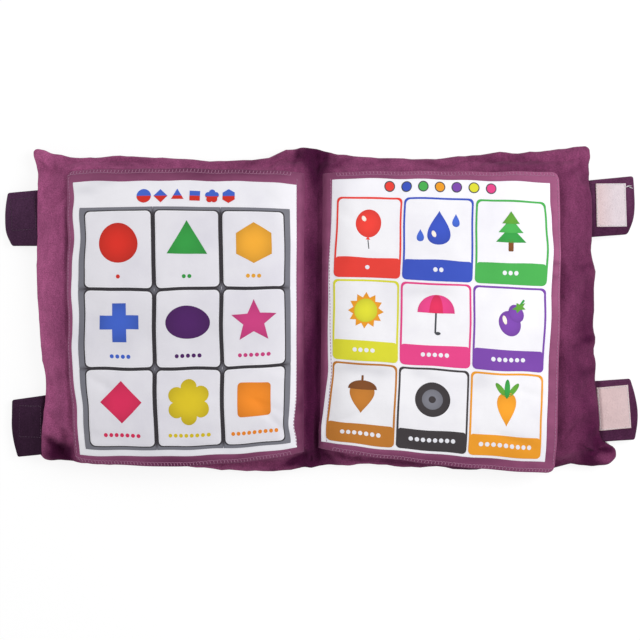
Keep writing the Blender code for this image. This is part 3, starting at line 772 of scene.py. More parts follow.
def plush_relief(u, v, x, y):
    """What the gutter's ridges and slot, the folds, the puckers and the broad swellings add to the
    plush's upper face, and how much of it is left near the seams."""
    size = settings().cushion
    fade = ramp((1 - np.abs(2 * v - 1)) * 20) * ramp(np.minimum(u, 1 - u) * 60)
    offset = x - SPINE_X
    ridge = sum(
        part * np.exp(-(((offset - place * MM) / (width * MM)) ** 2))
        for place, width, part in ((-7.5, 3.0, 0.7), (-3.2, 1.3, 0.8), (5.0, 1.3, 0.8))
    )
    ridge = size.ridge * ridge * (0.75 + 0.25 * ripple(x, y, 0.050, settings().seed + 5))
    ridge -= size.gutter * np.exp(-(((offset - 0.0012) / 0.0038) ** 2))
    billow = size.billow * ripple(x, y, 0.060, settings().seed + 6)
    return pucker_height(u, v, x, y) + (ridge + billow - crease(x, y, PLUSH_FOLDS)) * fade, fade


def cushion_faces(inset=0.0):
    """Both faces of the plush: the formula, then the simulation, the puckers and folds, and last the
    limits set by the table and the pages."""
    size = settings().cushion
    u_lines, v_lines = cushion_lines()
    u, v = np.meshgrid(u_lines, v_lines, indexing="ij")
    x, y = np.moveaxis(cushion_outline(u, v), -1, 0)
    upper_z, lower_z = cushion_heights(v, x, y)
    upper, lower = np.stack((x, y, upper_z), axis=-1), np.stack((x, y, lower_z), axis=-1)
    relief, fade = plush_relief(u, v, x, y)
    if inset:
        upper[..., 2] += np.minimum(relief, 0)
        return inset_faces(upper, lower, inset)
    above, below = simulated_change(u_lines, v_lines)
    upper, lower = upper + above, lower + below
    upper[..., 2] += relief
    lower[..., 2] -= 0.5 * pucker_height(u, v, x, y) * fade
    upper[..., 2] = np.minimum(upper[..., 2], plush_ceiling(upper[..., 0], upper[..., 1]))
    upper[..., 2] = np.maximum(upper[..., 2], size.seam_height * (1 - 0.4 * fade))
    lower[..., 2] = np.clip(lower[..., 2], 0.0, upper[..., 2] - 0.001 * fade)
    for rim in RIMS:
        lower[rim] = upper[rim]
    return upper, lower


def inset_faces(upper, lower, inset):
    """The faces drawn in from the plush by a space: towards the book's middle and towards each other,
    and never above the sewn pages."""
    middle = np.array((SPINE_X, 0.0))
    for face, way in ((upper, -1), (lower, 1)):
        plan = face[..., :2] - middle
        span = np.abs(plan).max(axis=(0, 1))
        face[..., :2] = middle + plan * (1 - 1.5 * inset / span)
        face[..., 2] += way * inset
    x, y = upper[..., 0], upper[..., 1]
    upper[..., 2] -= crease(x, y, PLUSH_FOLDS)
    upper[..., 2] = np.minimum(upper[..., 2], plush_ceiling(x, y) - inset)
    middle = (upper[..., 2] + lower[..., 2]) / 2
    upper[..., 2] = np.maximum(upper[..., 2], middle + 0.1 * MM)
    lower[..., 2] = np.minimum(lower[..., 2], middle - 0.1 * MM)
    for rim in RIMS:
        lower[rim] = upper[rim]
    return upper, lower


def bend_with_book(piece):
    """Bakes the piece's place into its points; nothing here bends it at the spine."""
    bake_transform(piece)


def bend_with_leaf(piece, side):
    """Works out where a leaf would bend, from its root in the gutter to its free part along the slant
    of its inner edge, but only bakes the piece's place into its points."""
    top, foot = (np.array(LEAF_CORNERS[side][corner]) * MM for corner in (0, 3))
    edge = (top - foot) / np.linalg.norm(top - foot)
    out = OUTWARD[side] * np.array((edge[1], -edge[0]))
    middle = (top + foot) / 2
    start, end = middle + out * settings().leaf.root, middle + out * settings().leaf.turn_end
    start, end = (*start, HINGE_HEIGHT), (*end, HINGE_HEIGHT)
    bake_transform(piece)


def quad_edges(corners, bow):
    """The four edges of a cloth from its corners: inner, outer, bottom and top, the last two bowed."""
    top_in, top_out, foot_out, foot_in = (np.array(corner, float) * MM for corner in corners)

    def line(start, end, lift):
        def at(part):
            part = np.asarray(part)[..., None]
            bulge = np.array((0.0, lift * MM)) * 4 * part * (1 - part)
            return start + part * (end - start) + bulge

        return at

    return (
        line(foot_in, top_in, 0), line(foot_out, top_out, 0),
        line(foot_in, foot_out, bow[1]), line(top_in, top_out, bow[0]),
    )


def rounded_shares(a, b, wide, tall, radius):
    """Shares across and up with the two outer corners rounded: the square at a corner becomes a
    quarter of a disc."""
    from_side, from_end = (1 - a) * wide, np.minimum(b, 1 - b) * tall
    p = np.clip(1 - from_side / radius, 0, None)
    q = np.clip(1 - from_end / radius, 0, None)
    new_p, new_q = p * np.sqrt(1 - q * q / 2), q * np.sqrt(1 - p * p / 2)
    shift = (q - new_q) * radius / tall
    return a - (p - new_p) * radius / wide, np.where(b > 0.5, b - shift, b + shift)


def leaf_place(side, a, b):
    """Place seen from above of the shares across and up a leaf, before it is wrinkled."""
    wide, tall = LEAF_FLAT[side]
    a, b = rounded_shares(a, b, wide, tall, settings().leaf.corner)
    return between_edges(a, b, *quad_edges(LEAF_CORNERS[side], LEAF_BOW[side]))


def strayed(x, y):
    """How far a leaf's cloth is moved across so that its print's side edges follow their tables. The
    shift fades away from the edges, and is gone at the leaf's root."""
    side = "left" if x.mean() < SPINE_X else "right"

    def edge_at(start, end):
        return (start[0] + (y / MM - start[1]) / (end[1] - start[1]) * (end[0] - start[0])) * MM

    corners = PRINT_CORNERS[side]
    inner, outer = edge_at(corners[3], corners[0]), edge_at(corners[2], corners[1])
    root = edge_at(LEAF_CORNERS[side][3], LEAF_CORNERS[side][0])
    to_root = OUTWARD[side] * (inner - x)
    past = OUTWARD[side] * (x - outer)
    gap = OUTWARD[side] * (inner - root)
    near_in = np.where(to_root > 0, ramp(1 - to_root / gap), np.exp(-((to_root / 0.018) ** 2)))
    near_out = np.exp(-((past / np.where(past > 0, 0.008, 0.020)) ** 2))
    shifts = [curve_through(table, y / MM) * MM for table in PRINT_STRAYS[side]]
    return shifts[0] * near_in + shifts[1] * near_out


def drawn_in(plan):
    """Places of a leaf's cloth once its wrinkles have pulled it a little to and fro."""
    plan = plan + np.stack((strayed(plan[..., 0], plan[..., 1]), np.zeros_like(plan[..., 0])), axis=-1)
    x, y = plan[..., 0], plan[..., 1]
    seed = settings().seed
    pull = np.stack((ripple(x, y, 0.060, seed + 20), ripple(x, y, 0.060, seed + 21)), axis=-1)
    return plan + settings().leaf.pull * pull * clear_of_spine(x)[..., None]


def outside_print(side, plan):
    """How far a place on a leaf lies outside its printed cloth, and less than 0 on it."""
    top_in, top_out, foot_out, foot_in = (np.array(corner) * MM for corner in PRINT_CORNERS[side])
    x, y = plan[..., 0], plan[..., 1]
    far = []
    for way, start, end, bow in ((1, top_in, top_out, 0), (-1, foot_in, foot_out, 1)):
        part = (x - start[0]) / (end[0] - start[0])
        line = start[1] + part * (end[1] - start[1]) + PRINT_BOW[side][bow] * MM * 4 * part * (1 - part)
        far.append(way * (y - line))
    for way, start, end in ((-1, foot_in, top_in), (1, foot_out, top_out)):
        line = start[0] + (y - start[1]) / (end[1] - start[1]) * (end[0] - start[0])
        far.append(way * OUTWARD[side] * (x - line))
    return np.maximum.reduce(far)


def fold_lines(shares, wide):
    """Shares across a cloth from its inner edge, with close even lines where it bends as it turns."""
    fold = np.arange(FOLD_STEP, FOLD_RUN, FOLD_STEP) / wide
    return np.concatenate((shares[:1], fold, shares[shares > FOLD_CLEAR / wide]))


def leaf_lines(side):
    """Shares across and up a leaf's grid, with extra lines on the borders."""
    wide, tall = LEAF_FLAT[side]
    step, border = 0.0042, (0.0010, 0.0024, 0.0042, 0.0060, 0.0078, 0.0092, 0.0104, 0.0125)
    return fold_lines(spread(wide, step, RIM, border), wide), spread(tall, step, RIM, border)


def root_curl(side, points):
    """The inner edge of a leaf turned down into the gutter: a quarter of an oval from the leaf's
    height to the plush of the spine."""
    way, run, press, lean = OUTWARD[side], 0.0055, 0.0012, 0.0012
    offset = way * (points[..., 0] - SPINE_X)
    t = np.clip((offset - offset[:1]) / run, 0, 1)
    valley = sewn_page_height(points[..., 0], points[..., 1]) - press
    top = points[..., 2]
    drop = 1 - np.sqrt(1 - (1 - t) ** 2)
    bent = points.copy()
    bent[..., 2] = top - (top - valley) * drop
    bent[..., 0] -= way * lean * (1 - t) ** 3
    return bent


def normals(points):
    """Directions square to a grid, pointing up."""
    across, up = np.gradient(points, axis=0), np.gradient(points, axis=1)
    square = np.cross(across, up)
    square /= np.linalg.norm(square, axis=-1, keepdims=True)
    return square * np.sign(square[..., 2:].mean())


def leaf_sheet(side, height, puff=0.0):
    """A grid of a leaf at a height over its lowest face, its border puffed and its rim drawn in."""
    a, b = np.meshgrid(*leaf_lines(side), indexing="ij")
    return root_curl(side, leaf_surface(side, a, b, height, puff))


def leaf_surface(side, a, b, height, puff):
    """Points of a leaf's cloth at shares across and up, at a height over its lowest face. Outside the
    print the border puffs up with small ripples, and the rim is drawn in to the leaf's middle."""
    wide, tall = LEAF_FLAT[side]
    plan = leaf_place(side, a, b)
    margin = np.minimum(np.minimum(a, 1 - a) * wide, np.minimum(b, 1 - b) * tall)
    border = ramp(outside_print(side, plan) / 0.0018)
    squeeze = ramp((margin + RIM) / 0.0032)
    xy = drawn_in(plan)
    small = 0.75 + 0.25 * ripple(xy[..., 0], xy[..., 1], 0.010, settings().seed + 22)
    middle = LEAF_LAYERS["crinkle_film"]
    z = leaf_rest(xy[..., 0], xy[..., 1]) + middle + (height - middle) * squeeze
    return with_height(xy, z + puff * border * squeeze * small)


def print_place(side, s, t):
    """Place seen from above of the shares across and up a printed cloth, read from left to right."""
    inward = s if side == "right" else 1 - s
    return drawn_in(between_edges(inward, t, *quad_edges(PRINT_CORNERS[side], PRINT_BOW[side])))


def front_height(x, y):
    """Height of the white cloth on the front of a leaf."""
    return leaf_rest(x, y) + FRONT_FACE


def loop_ring(outer, inner, height, top, bottom, step):
    """A thin patch of ink: loops from its middle, or from an inner outline, to its outline, in two
    skins that meet at the rim. The middle is closed with a fan of triangles."""
    area = np.sum(outer[:, 0] * np.roll(outer[:, 1], -1) - outer[:, 1] * np.roll(outer[:, 0], -1))
    if area < 0:
        outer = outer[::-1]
        inner = None if inner is None else inner[::-1]
    start = np.broadcast_to(outer.mean(0), outer.shape) if inner is None else inner
    reach = np.linalg.norm(outer - start, axis=1).max()
    count = max(1, math.ceil(reach / step))
    rim = min(INK_RIM / reach, 0.2)
    parts = np.linspace(0, 1, count + 1)
    if inner is None:
        parts = np.concatenate((parts[1:-1], (1 - rim, 1)))
    else:
        parts = np.concatenate(((0, rim), parts[1:-1], (1 - rim, 1)))
    xy = start + parts[:, None, None] * (outer - start)
    base = height(xy[..., 0], xy[..., 1])
    rims = np.zeros(len(parts), bool)
    rims[-1] = True
    rims[0] = inner is not None
    middle = (top + bottom) / 2
    lifted = base + np.where(rims, middle, top)[:, None]
    sunk = base[~rims] + bottom
    rows, around = base.shape
    upper = with_height(xy, lifted).reshape(-1, 3)
    lower = with_height(xy[~rims], sunk).reshape(-1, 3)
    index = np.arange(rows * around).reshape(rows, around)
    under = index.copy()
    under[~rims] = rows * around + np.arange((~rims).sum() * around).reshape(-1, around)
    quads = np.concatenate((cells(index, wrap=True), cells(under, wrap=True)[:, ::-1]))
    points = np.concatenate((upper, lower))
    if inner is not None:
        return points, quads, np.empty((0, 3), int)
    centre = outer.mean(0)
    level = height(centre[0], centre[1])
    poles = np.array(((*centre, level + top), (*centre, level + bottom)))
    first = len(points)
    turn = np.roll(np.arange(around), -1)
    over = np.stack((np.full(around, first), index[0], index[0][turn]), axis=-1)
    below = np.stack((np.full(around, first + 1), under[0][turn], under[0]), axis=-1)
    return np.concatenate((points, poles)), quads, np.concatenate((over, below))


def toward(angle):
    """Points of the unit circle at angles from its right side."""
    return np.stack((np.cos(angle), np.sin(angle)), axis=-1)


def circle(count=48):
    """A unit circle as a loop of points."""
    return toward(np.arange(count) * 2 * math.pi / count)


def cornered(corners, count=60):
    """A loop through straight runs between corners, each with the same number of points."""
    corners = np.asarray(corners, float)
    per_edge = max(2, count // len(corners))
    part = (np.arange(per_edge) / per_edge)[None, :, None]
    ahead = np.roll(corners, -1, axis=0)
    return (corners[:, None] + part * (ahead - corners)[:, None]).reshape(-1, 2)


def polygon(number, turn=0.25):
    """A regular outline with its first corner at a share of a full turn."""
    return cornered(toward((turn + np.arange(number) / number) * 2 * math.pi))


def star(number, waist=0.45):
    """A star: corners in turn at radius 1 and at the waist."""
    angle = (0.25 + np.arange(2 * number) / (2 * number)) * 2 * math.pi
    radius = np.where(np.arange(2 * number) % 2 == 0, 1, waist)[:, None]
    return cornered(radius * toward(angle), 80)


def petals(number, depth=0.28):
    """A flower: the radius swells once for each petal."""
    angle = np.arange(72) * 2 * math.pi / 72
    radius = 1 - depth + depth * np.abs(np.cos(number * (angle - math.pi / 2) / 2)) ** 0.7
    return radius[:, None] * toward(angle)


def drop():
    """A drop with its point up: a circle whose width narrows towards the top."""
    angle = np.arange(56) * 2 * math.pi / 56
    narrow = np.abs(np.sin(angle / 2)) ** 1.4
    return np.stack((-np.sin(angle) * narrow, np.cos(angle)), axis=-1)


def rounded_box(wide, tall, radius, step):
    """A rectangle with round corners: the corners' arcs, and even steps on the straight runs, of one
    length or of one across and one up."""
    half = np.array((wide, tall)) / 2 - radius
    arc = np.linspace(0, 0.5, 5) * math.pi
    signs = np.array(((1, 1), (-1, 1), (-1, -1), (1, -1)))
    runs = []
    for turn, sign in enumerate(signs):
        angle = arc + turn * math.pi / 2
        bend = toward(angle) * radius + half * sign
        steps = max(1, math.ceil(2 * half[turn % 2] / np.broadcast_to(step, 2)[turn % 2]))
        end = half * signs[(turn + 1) % 4] + toward(angle[-1]) * radius
        part = (np.arange(1, steps) / steps)[:, None]
        runs.extend((bend, bend[-1] + part * (end - bend[-1])))
    return np.concatenate(runs)


def plus(w=0.36):
    """A cross with arms of one width."""
    return cornered(
        ((w, 1), (-w, 1), (-w, w), (-1, w), (-1, -w), (-w, -w), (-w, -1), (w, -1), (w, -w), (1, -w),
         (1, w), (w, w)), 84,
    )


def cut_below(outline):
    """The lower half of an outline."""
    return np.stack((outline[:, 0], np.minimum(outline[:, 1], 0)), axis=-1)


def as_light(value):
    """Screen colour as light, by the curve of screens: a straight start, then a power of 2.4."""
    value = np.asarray(value, float)
    return np.where(value <= 0.04045, value / 12.92, ((value + 0.055) / 1.055) ** 2.4)


class InkSheet:
    """Collects the inks of one page, drawn in millimetres on the flat cloth from its bottom left."""

    def __init__(self, side):
        self.side = side
        self.parts = []
        self.colours = []

    def on_page(self, flat):
        """Places on the leaf of points on the flat cloth."""
        wide, tall = PRINT_FLAT[self.side]
        return print_place(self.side, flat[:, 0] / wide, flat[:, 1] / tall)

    def add(self, outline, ink, level, inner=None, glow=0.0):
        """One flat patch of ink. The ink is a name, or a colour for each point of the outline; with a
        glow it is lighter at its middle and darker at its rim."""
        step = settings().leaf.ink_step
        outer = self.on_page(outline)
        inner = None if inner is None else self.on_page(inner)
        top, bottom = level * step + INK_TOP, (level - 1) * step + INK_FOOT
        near = np.abs(outer[:, 0] - SPINE_X).min() < INK_NEAR
        part = loop_ring(outer, inner, front_height, top, bottom, INK_LOOPS[0 if near else 1])
        self.parts.append(part)
        tints = np.atleast_2d(INK[ink] if isinstance(ink, str) else ink)
        tints = np.tile(tints, (len(part[0]) // len(tints), 1))
        far = np.linalg.norm(part[0][:, :2] - outer.mean(0), axis=1)
        shade = 1 + glow * (0.4 - (far / far.max()) ** 2)
        self.colours.append(np.clip(tints * shade[:, None], 0, 1))

    def stamp(self, outline, centre, size, ink, level, turn=0.0, glow=0.0):
        """An outline of unit size, made larger, turned and put in its place."""
        c, s = math.cos(turn), math.sin(turn)
        x, y = (outline * size).T
        shape = np.stack((x * c - y * s, x * s + y * c), axis=-1)
        self.add(shape + centre, ink, level, glow=glow)

    def dots(self, centre, number, ink, level, radius, pitch):
        """A row of dots round a place."""
        for place in range(number):
            x = centre[0] + (place - (number - 1) / 2) * pitch
            self.stamp(circle(14), (x, centre[1]), radius, ink, level)

    def piece(self, name):
        """All the inks as one piece that keeps its colours."""
        made = make_piece(name, *joined(self.parts), sharp=0.5)
        tints = as_light(np.concatenate(self.colours))
        layer = made.data.color_attributes.new("ink", "FLOAT_COLOR", "POINT")
        layer.data.foreach_set("color", np.pad(tints, ((0, 0), (0, 1)), constant_values=1).ravel())
        return made


def card_places(side, columns, bottom, top, gap):
    """Numbers, centres and sizes of nine cards in three rows, from the top left, in millimetres. The
    columns are given at the bottom and at the top, as shares of the cloth's width."""
    wide, tall = PRINT_FLAT[side]
    foot, head = columns
    height = ((top - bottom) - 2 * gap * wide / tall) / 3 * tall
    for number in range(9):
        row, column = divmod(number, 3)
        left, right = np.array(foot[column]) * row / 2 + np.array(head[column]) * (1 - row / 2)
        y = top * tall - height / 2 - row * (height + gap * wide)
        yield number, (left + right) / 2 * wide, y, (right - left) * wide, height


def bar_tones(square, borders):
    """Tones round one card's frame, as shares from dark to grey: grey on the chart's own border and
    where the bars cross, dark along the bars between the cards."""
    beside = np.abs(square[:, 0]) >= np.abs(square[:, 1])
    left, right, bottom, top = borders
    sideways = np.where(square[:, 0] < 0, left, right)
    outer = np.where(beside, sideways, np.where(square[:, 1] < 0, bottom, top))
    crossing = ramp((np.abs(square).min(axis=1) - 0.84) / 0.12)
    return np.maximum(outer, 0.75 * crossing)


def shape_chart(sheet):
    """A grey chart of nine pale cards, each with one plain shape and a row of counting dots."""
    columns = ((0.0548, 0.3486), (0.3669, 0.6522), (0.6705, 0.9448))
    cards = list(card_places("left", (columns, columns), 0.037, 0.889, 0.0135))
    dark, grey = np.array(INK["bar"]), np.array(INK["grey"])
    grow, rise = 2.0, 1.48
    for number, x, y, width, height in cards:
        centre = np.array((x, y))
        borders = (number % 3 == 0, number % 3 == 2, number // 3 == 2, number // 3 == 0)
        extra = np.array((-3.7, 4.0, -2.3, 2.3)) * borders
        cell = np.array((-width, width, -height, height)) / 2 + (-grow, grow, -rise, rise) + extra
        outline = rounded_box(width, height, 4.5, step=2.8)
        scale = np.array((width, height)) / 2
        square = outline / scale / np.abs(outline / scale).max(axis=1, keepdims=True)
        frame_edge = np.where(square < 0, -square * cell[[0, 2]], square * cell[[1, 3]])
        tones = dark + bar_tones(square, borders)[:, None] * (grey - dark)
        sheet.add(frame_edge + centre, tones, 1, inner=outline * 1.002 + centre)
        line_out = np.minimum(np.abs(outline) + 0.9, np.abs(frame_edge)) * np.sign(outline)
        sheet.add(line_out + centre, "bar", 2, inner=outline * 0.998 + centre)
        sheet.add(outline * (1 - 2.2 / width) + centre, "card", 1)
    shapes = (
        (circle(), 19, "red"), (polygon(3), (23, 22), "green"), (polygon(6), 20, "amber"),
        (plus(), 19, "blue"), (circle(), (22, 16), "violet"), (star(5), (23, 22), "pink"),
        (polygon(4), 21, "crimson"), (petals(6), 22, "yellow"),
        (rounded_box(1.75, 1.75, 0.2, step=0.12), 19, "orange"),
    )
    for (number, x, y, width, height), (outline, size, ink) in zip(cards, shapes):
        sheet.stamp(outline, (x, y + 6), size, ink, 2, glow=0.16)
        sheet.dots((x, y - height / 2 + 10.5), number + 1, ink, 2, radius=2.0, pitch=5.5)
    header = (circle(), polygon(4), polygon(3), polygon(4, 0.125), petals(5), polygon(6))
    for place, outline in enumerate(header):
        centre = (69.5 + place * 16.6, 252)
        sheet.stamp(outline, centre, (7.0, 6.8), "blue", 1)
        sheet.stamp(cut_below(outline), centre, (7.0, 6.8), "red", 2)


def pictures():
    """The plain pictures of the colour cards: each part's outline, place, size, ink, layer and turn."""
    disc, dot, tear = circle(), circle(24), drop()
    half_disc, half_turn = cut_below(-disc), math.pi
    return {
        "card_red": (
            (disc, (0, 4), (12.5, 14.5), "card_red", 2, 0),
            (polygon(3), (0, -11.5), (2.6, 2.2), "card_red", 2, 0),
            (rounded_box(0.9, 9, 0.4, 1.5), (0.6, -17), 1, "line", 2, 0.12),
            (dot, (-4.6, 9), (2.0, 3.2), "pale", 3, 0.5),
        ),
        "card_blue": (
            (tear, (0, 1), (16, 17), "card_blue", 2, 0), (dot, (-5, -5), (2.0, 3.6), "pale", 3, 0.4),
            (tear, (17, 9), (5.5, 6.5), "blue", 2, 0), (tear, (-18, -6), (5.0, 6.0), "blue", 2, 0),
        ),
        "card_green": (
            (rounded_box(5, 12, 1, 2), (0, -13), 1, "brown", 2, 0),
            (polygon(3), (0, -5), (17, 11), "green", 2, 0),
            (polygon(3), (0, 4), (14, 10), "card_green", 3, 0),
            (polygon(3), (0, 12), (10, 8), "leaf", 4, 0),
        ),
        "card_yellow": (
            (star(12, 0.72), (0, 0), 18, "card_orange", 2, 0),
            (disc, (0, 0), 11.5, "card_yellow", 3, 0),
        ),
        "card_pink": (
            (rounded_box(1.7, 28, 0.6, 2), (0, -4), 1, "line", 2, 0),
            (half_disc, (0, 1), 18, "card_pink", 3, half_turn),
            (half_disc, (0, 1), (6.5, 18), "crimson", 4, half_turn),
            (disc, (2.6, -18), (2.6, 1.6), "line", 3, 0),
        ),
        "card_violet": (
            (disc, (1, -5), (10.5, 12.5), "card_violet", 2, 0.5),
            (disc, (7, 5), (7, 9), "card_violet", 3, 0.5),
            (star(5, 0.5), (10, 11), (8, 5), "leaf", 4, 0.5),
            (rounded_box(2, 7, 0.7, 2), (13, 16), 1, "green", 3, -0.6),
            (dot, (-4, -2), (2.0, 4.6), "pale", 4, 0.3),
        ),
        "card_brown": (
            (tear, (0, -4), (17, 15), "card_brown", 2, half_turn),
            (half_disc, (0, 5), (14, 9), "brown", 3, half_turn),
            (rounded_box(2, 6, 0.7, 2), (0, 16), 1, "brown", 3, 0),
        ),
        "card_black": (
            (disc, (0, 0), 17, "card_black", 2, 0), (disc, (0, 0), 10, "grey", 3, 0),
            (dot, (0, 0), 3.4, "card_black", 4, 0),
        ),
        "card_orange": (
            (tear, (0, -4), (13, 17), "card_orange", 2, half_turn),
            (disc, (-6, 15), (2.6, 8), "leaf", 2, 0.7), (disc, (6, 15), (2.6, 8), "leaf", 2, -0.7),
            (disc, (0, 16), (2.6, 9), "green", 3, 0),
        ),
    }


def colour_card_places():
    """The nine colour cards, each with its ink and picture."""
    foot = ((0.0207, 0.3205), (0.3285, 0.6440), (0.6520, 0.9767))
    head = ((0.0236, 0.3259), (0.3345, 0.6520), (0.6625, 0.9782))
    return zip(card_places("right", (foot, head), 0.010, 0.932, 0.010), pictures().items())


def colour_cards(sheet):
    """Nine cards, each with a coloured line and a coloured band."""
    for (number, x, y, width, height), (ink, _) in colour_card_places():
        centre = np.array((x, y))
        step = (1.2 if number % 3 == 0 else 2.8, 2.8)
        outline = rounded_box(width, height, 4.5, step=step)
        inner = outline * (1 - 3.8 / width, 1 - 3.8 / height)
        sheet.add(outline * 0.98 + centre, "card_light", 1)
        sheet.add(outline + centre, ink, 2, inner=inner + centre)
        band = rounded_box(width - 3.0, 19, 2.5, step=step)
        sheet.add(band + centre + (0, -height / 2 + 11), ink, 2)


def card_pictures(sheet):
    """A plain picture and a row of counting dots on each colour card, and the discs over them."""
    for (number, x, y, _, height), (_, parts) in colour_card_places():
        sheet.dots((x, y - height / 2 + 11), number + 1, "white", 3, radius=2.2, pitch=5.9)
        for shape, place, size, tint, level, turn in parts:
            sheet.stamp(shape, (x + place[0], y + 10 + place[1]), size, tint, level, turn, glow=0.12)
    for place, ink in enumerate(("red", "blue", "green", "orange", "violet", "yellow", "pink")):
        centre = (58 + place * 17.0, 262.5)
        sheet.stamp(circle(28), centre, 5.4, "line", 1)
        sheet.stamp(circle(28), centre, 4.4, f"card_{ink}", 2)


def node(tree, kind, options=None, **inputs):
    """A shader node with its options set and its inputs set or linked."""
    made = tree.nodes.new(kind)
    for key, value in (options or {}).items():
        setattr(made, key, value)
    for key, value in inputs.items():
        socket = made.inputs[key.replace("_", " ")]
        if isinstance(value, bpy.types.NodeSocket):
            tree.links.new(value, socket)
        else:
            socket.default_value = value
    return made


def linear(value):
    """Screen colour as light, with full cover."""
    return (*as_light(value).tolist(), 1.0)


def tone(tree, part, low, high, start=0.0, end=1.0):
    """A colour between two, by a share that runs from start to end."""
    made = node(tree, "ShaderNodeValToRGB", Fac=part)
    made.color_ramp.elements[0].position, made.color_ramp.elements[1].position = start, end
    made.color_ramp.elements[0].color, made.color_ramp.elements[1].color = low, high
    return made.outputs["Color"]


def multiplied(tree, first, second, part=1.0):
    """The first colour times the second, or a share of that."""
    made = node(tree, "ShaderNodeMix", {"data_type": "RGBA", "blend_type": "MULTIPLY"})
    for number, value in ((0, part), (6, first), (7, second)):
        if isinstance(value, bpy.types.NodeSocket):
            tree.links.new(value, made.inputs[number])
        else:
            made.inputs[number].default_value = value
    return made.outputs[2]


def shade_and_tint_of(tree):
    """The value kept on a piece: painted light and shade, and on a loop patch the share of its blush.
    """
    return node(tree, "ShaderNodeAttribute", {"attribute_name": "pile"}).outputs["Fac"]


def start_material(name, roughness, sheen=0.0, sheen_roughness=0.5, sheen_tint=(1, 1, 1, 1)):
    """A material with its shader, and the place on the piece that its patterns read."""
    made = bpy.data.materials.new(f"{name}_look")
    made.use_nodes = True
    tree = made.node_tree
    shader = tree.nodes["Principled BSDF"]
    shader.inputs["Roughness"].default_value = roughness
    shader.inputs["Sheen Weight"].default_value = sheen
    shader.inputs["Sheen Tint"].default_value = sheen_tint
    shader.inputs["Sheen Roughness"].default_value = sheen_roughness
    shader.inputs["Specular IOR Level"].default_value = 0.25
    place = node(tree, "ShaderNodeTexCoord").outputs["Object"]
    return made, tree, shader, place


def noise(tree, place, scale, detail=3.0, roughness=0.5, stretch=None):
    """Uneven values of one size, or stretched along an axis."""
    if stretch is not None:
        place = node(tree, "ShaderNodeMapping", Vector=place, Scale=stretch).outputs["Vector"]
    return node(
        tree, "ShaderNodeTexNoise", Vector=place, Scale=scale, Detail=detail, Roughness=roughness
    ).outputs["Fac"]


def bump(tree, shader, height, strength, distance, under=None):
    """Small relief on the shader's normal."""
    made = node(tree, "ShaderNodeBump", Height=height, Strength=strength, Distance=distance)
    if under is not None:
        tree.links.new(under, made.inputs["Normal"])
    tree.links.new(made.outputs["Normal"], shader.inputs["Normal"])
    return made.outputs["Normal"]


def added(tree, first, second, kind="ADD"):
    """Two values added, or put together in another way."""
    made = node(tree, "ShaderNodeMath", {"operation": kind})
    for number, value in enumerate((first, second)):
        if isinstance(value, bpy.types.NodeSocket):
            tree.links.new(value, made.inputs[number])
        else:
            made.inputs[number].default_value = value
    return made.outputs[0]


def plush_material(name, deep, light, sheen):
    """Short-pile plush: painted light and shade kept on the piece, soft patches and brush marks where
    the pile leans, a fine pile and specks.
    """
    tint = tuple(0.45 + 0.55 * part for part in light)
    made, tree, shader, place = start_material(name, 0.95, sheen, 0.45, linear(tint))
    patches = noise(tree, place, 26.0, 3.0, 0.5, stretch=(1.0, 0.6, 1.0))
    brushed = noise(tree, place, 120.0, 3.0, 0.6, stretch=(1.0, 0.4, 1.0))
    lean = added(tree, added(tree, patches, 0.5, "SUBTRACT"), 0.55, "MULTIPLY")
    # Painted light and shade kept on the piece, with the random patches, mixes the deep and the light
    # tone
    base = tone(tree, added(tree, lean, shade_and_tint_of(tree)), linear(deep), linear(light))
    streaks = tone(tree, brushed, (0.86, 0.84, 0.86, 1), (1.12, 1.11, 1.11, 1), 0.32, 0.68)
    grain = noise(tree, place, 900.0, 2.0)
    pile = tone(tree, grain, (0.74, 0.72, 0.74, 1), (1.24, 1.22, 1.24, 1), 0.32, 0.68)
    specks = tone(tree, noise(tree, place, 620.0, 1.0), (1, 1, 1, 1), (1.5, 1.5, 1.5, 1), 0.66, 0.78)
    colour_of = multiplied(tree, multiplied(tree, base, streaks), pile)
    tree.links.new(multiplied(tree, colour_of, specks, 0.7), shader.inputs["Base Color"])
    shader.inputs["Specular IOR Level"].default_value = 0.08
    rough = bump(tree, shader, grain, 0.5, 0.0006)
    bump(tree, shader, brushed, 0.30, 0.0010, rough)
    return made


def weave(tree, place, pitch):
    """A plain weave: a wave of threads across times one up."""
    across, up = (
        node(
            tree, "ShaderNodeTexWave", {"bands_direction": way},
            Vector=place, Scale=0.314 / pitch, Distortion=0.4,
        ).outputs["Fac"]
        for way in "XY"
    )
    return added(tree, across, up, "MULTIPLY")


def plum_cloth_material(name, deep, light):
    """Smooth woven cloth with a satin sheen, soft rubs and painted light and shade kept on the piece.
    """
    made, tree, shader, place = start_material(name, 0.62, 0.35, 0.35, linear((0.86, 0.72, 0.86)))
    rubs = noise(tree, place, 42.0, 4.0, 0.6, stretch=(0.5, 1.0, 1.0))
    rubbed = added(tree, added(tree, rubs, 0.5, "SUBTRACT"), 0.7, "MULTIPLY")
    # Painted light and shade kept on the piece, with the rubs, mixes the deep and the light tone
    base = tone(tree, added(tree, rubbed, shade_and_tint_of(tree)), linear(deep), linear(light))
    threads = weave(tree, place, 0.00055)
    shade = tone(tree, threads, (0.88, 0.86, 0.88, 1), (1.08, 1.06, 1.08, 1), 0.1, 0.9)
    tree.links.new(multiplied(tree, base, shade), shader.inputs["Base Color"])
    fine = bump(tree, shader, threads, 0.35, 0.0003)
    bump(tree, shader, noise(tree, place, 130.0, 3.0), 0.25, 0.0008, fine)
    return made


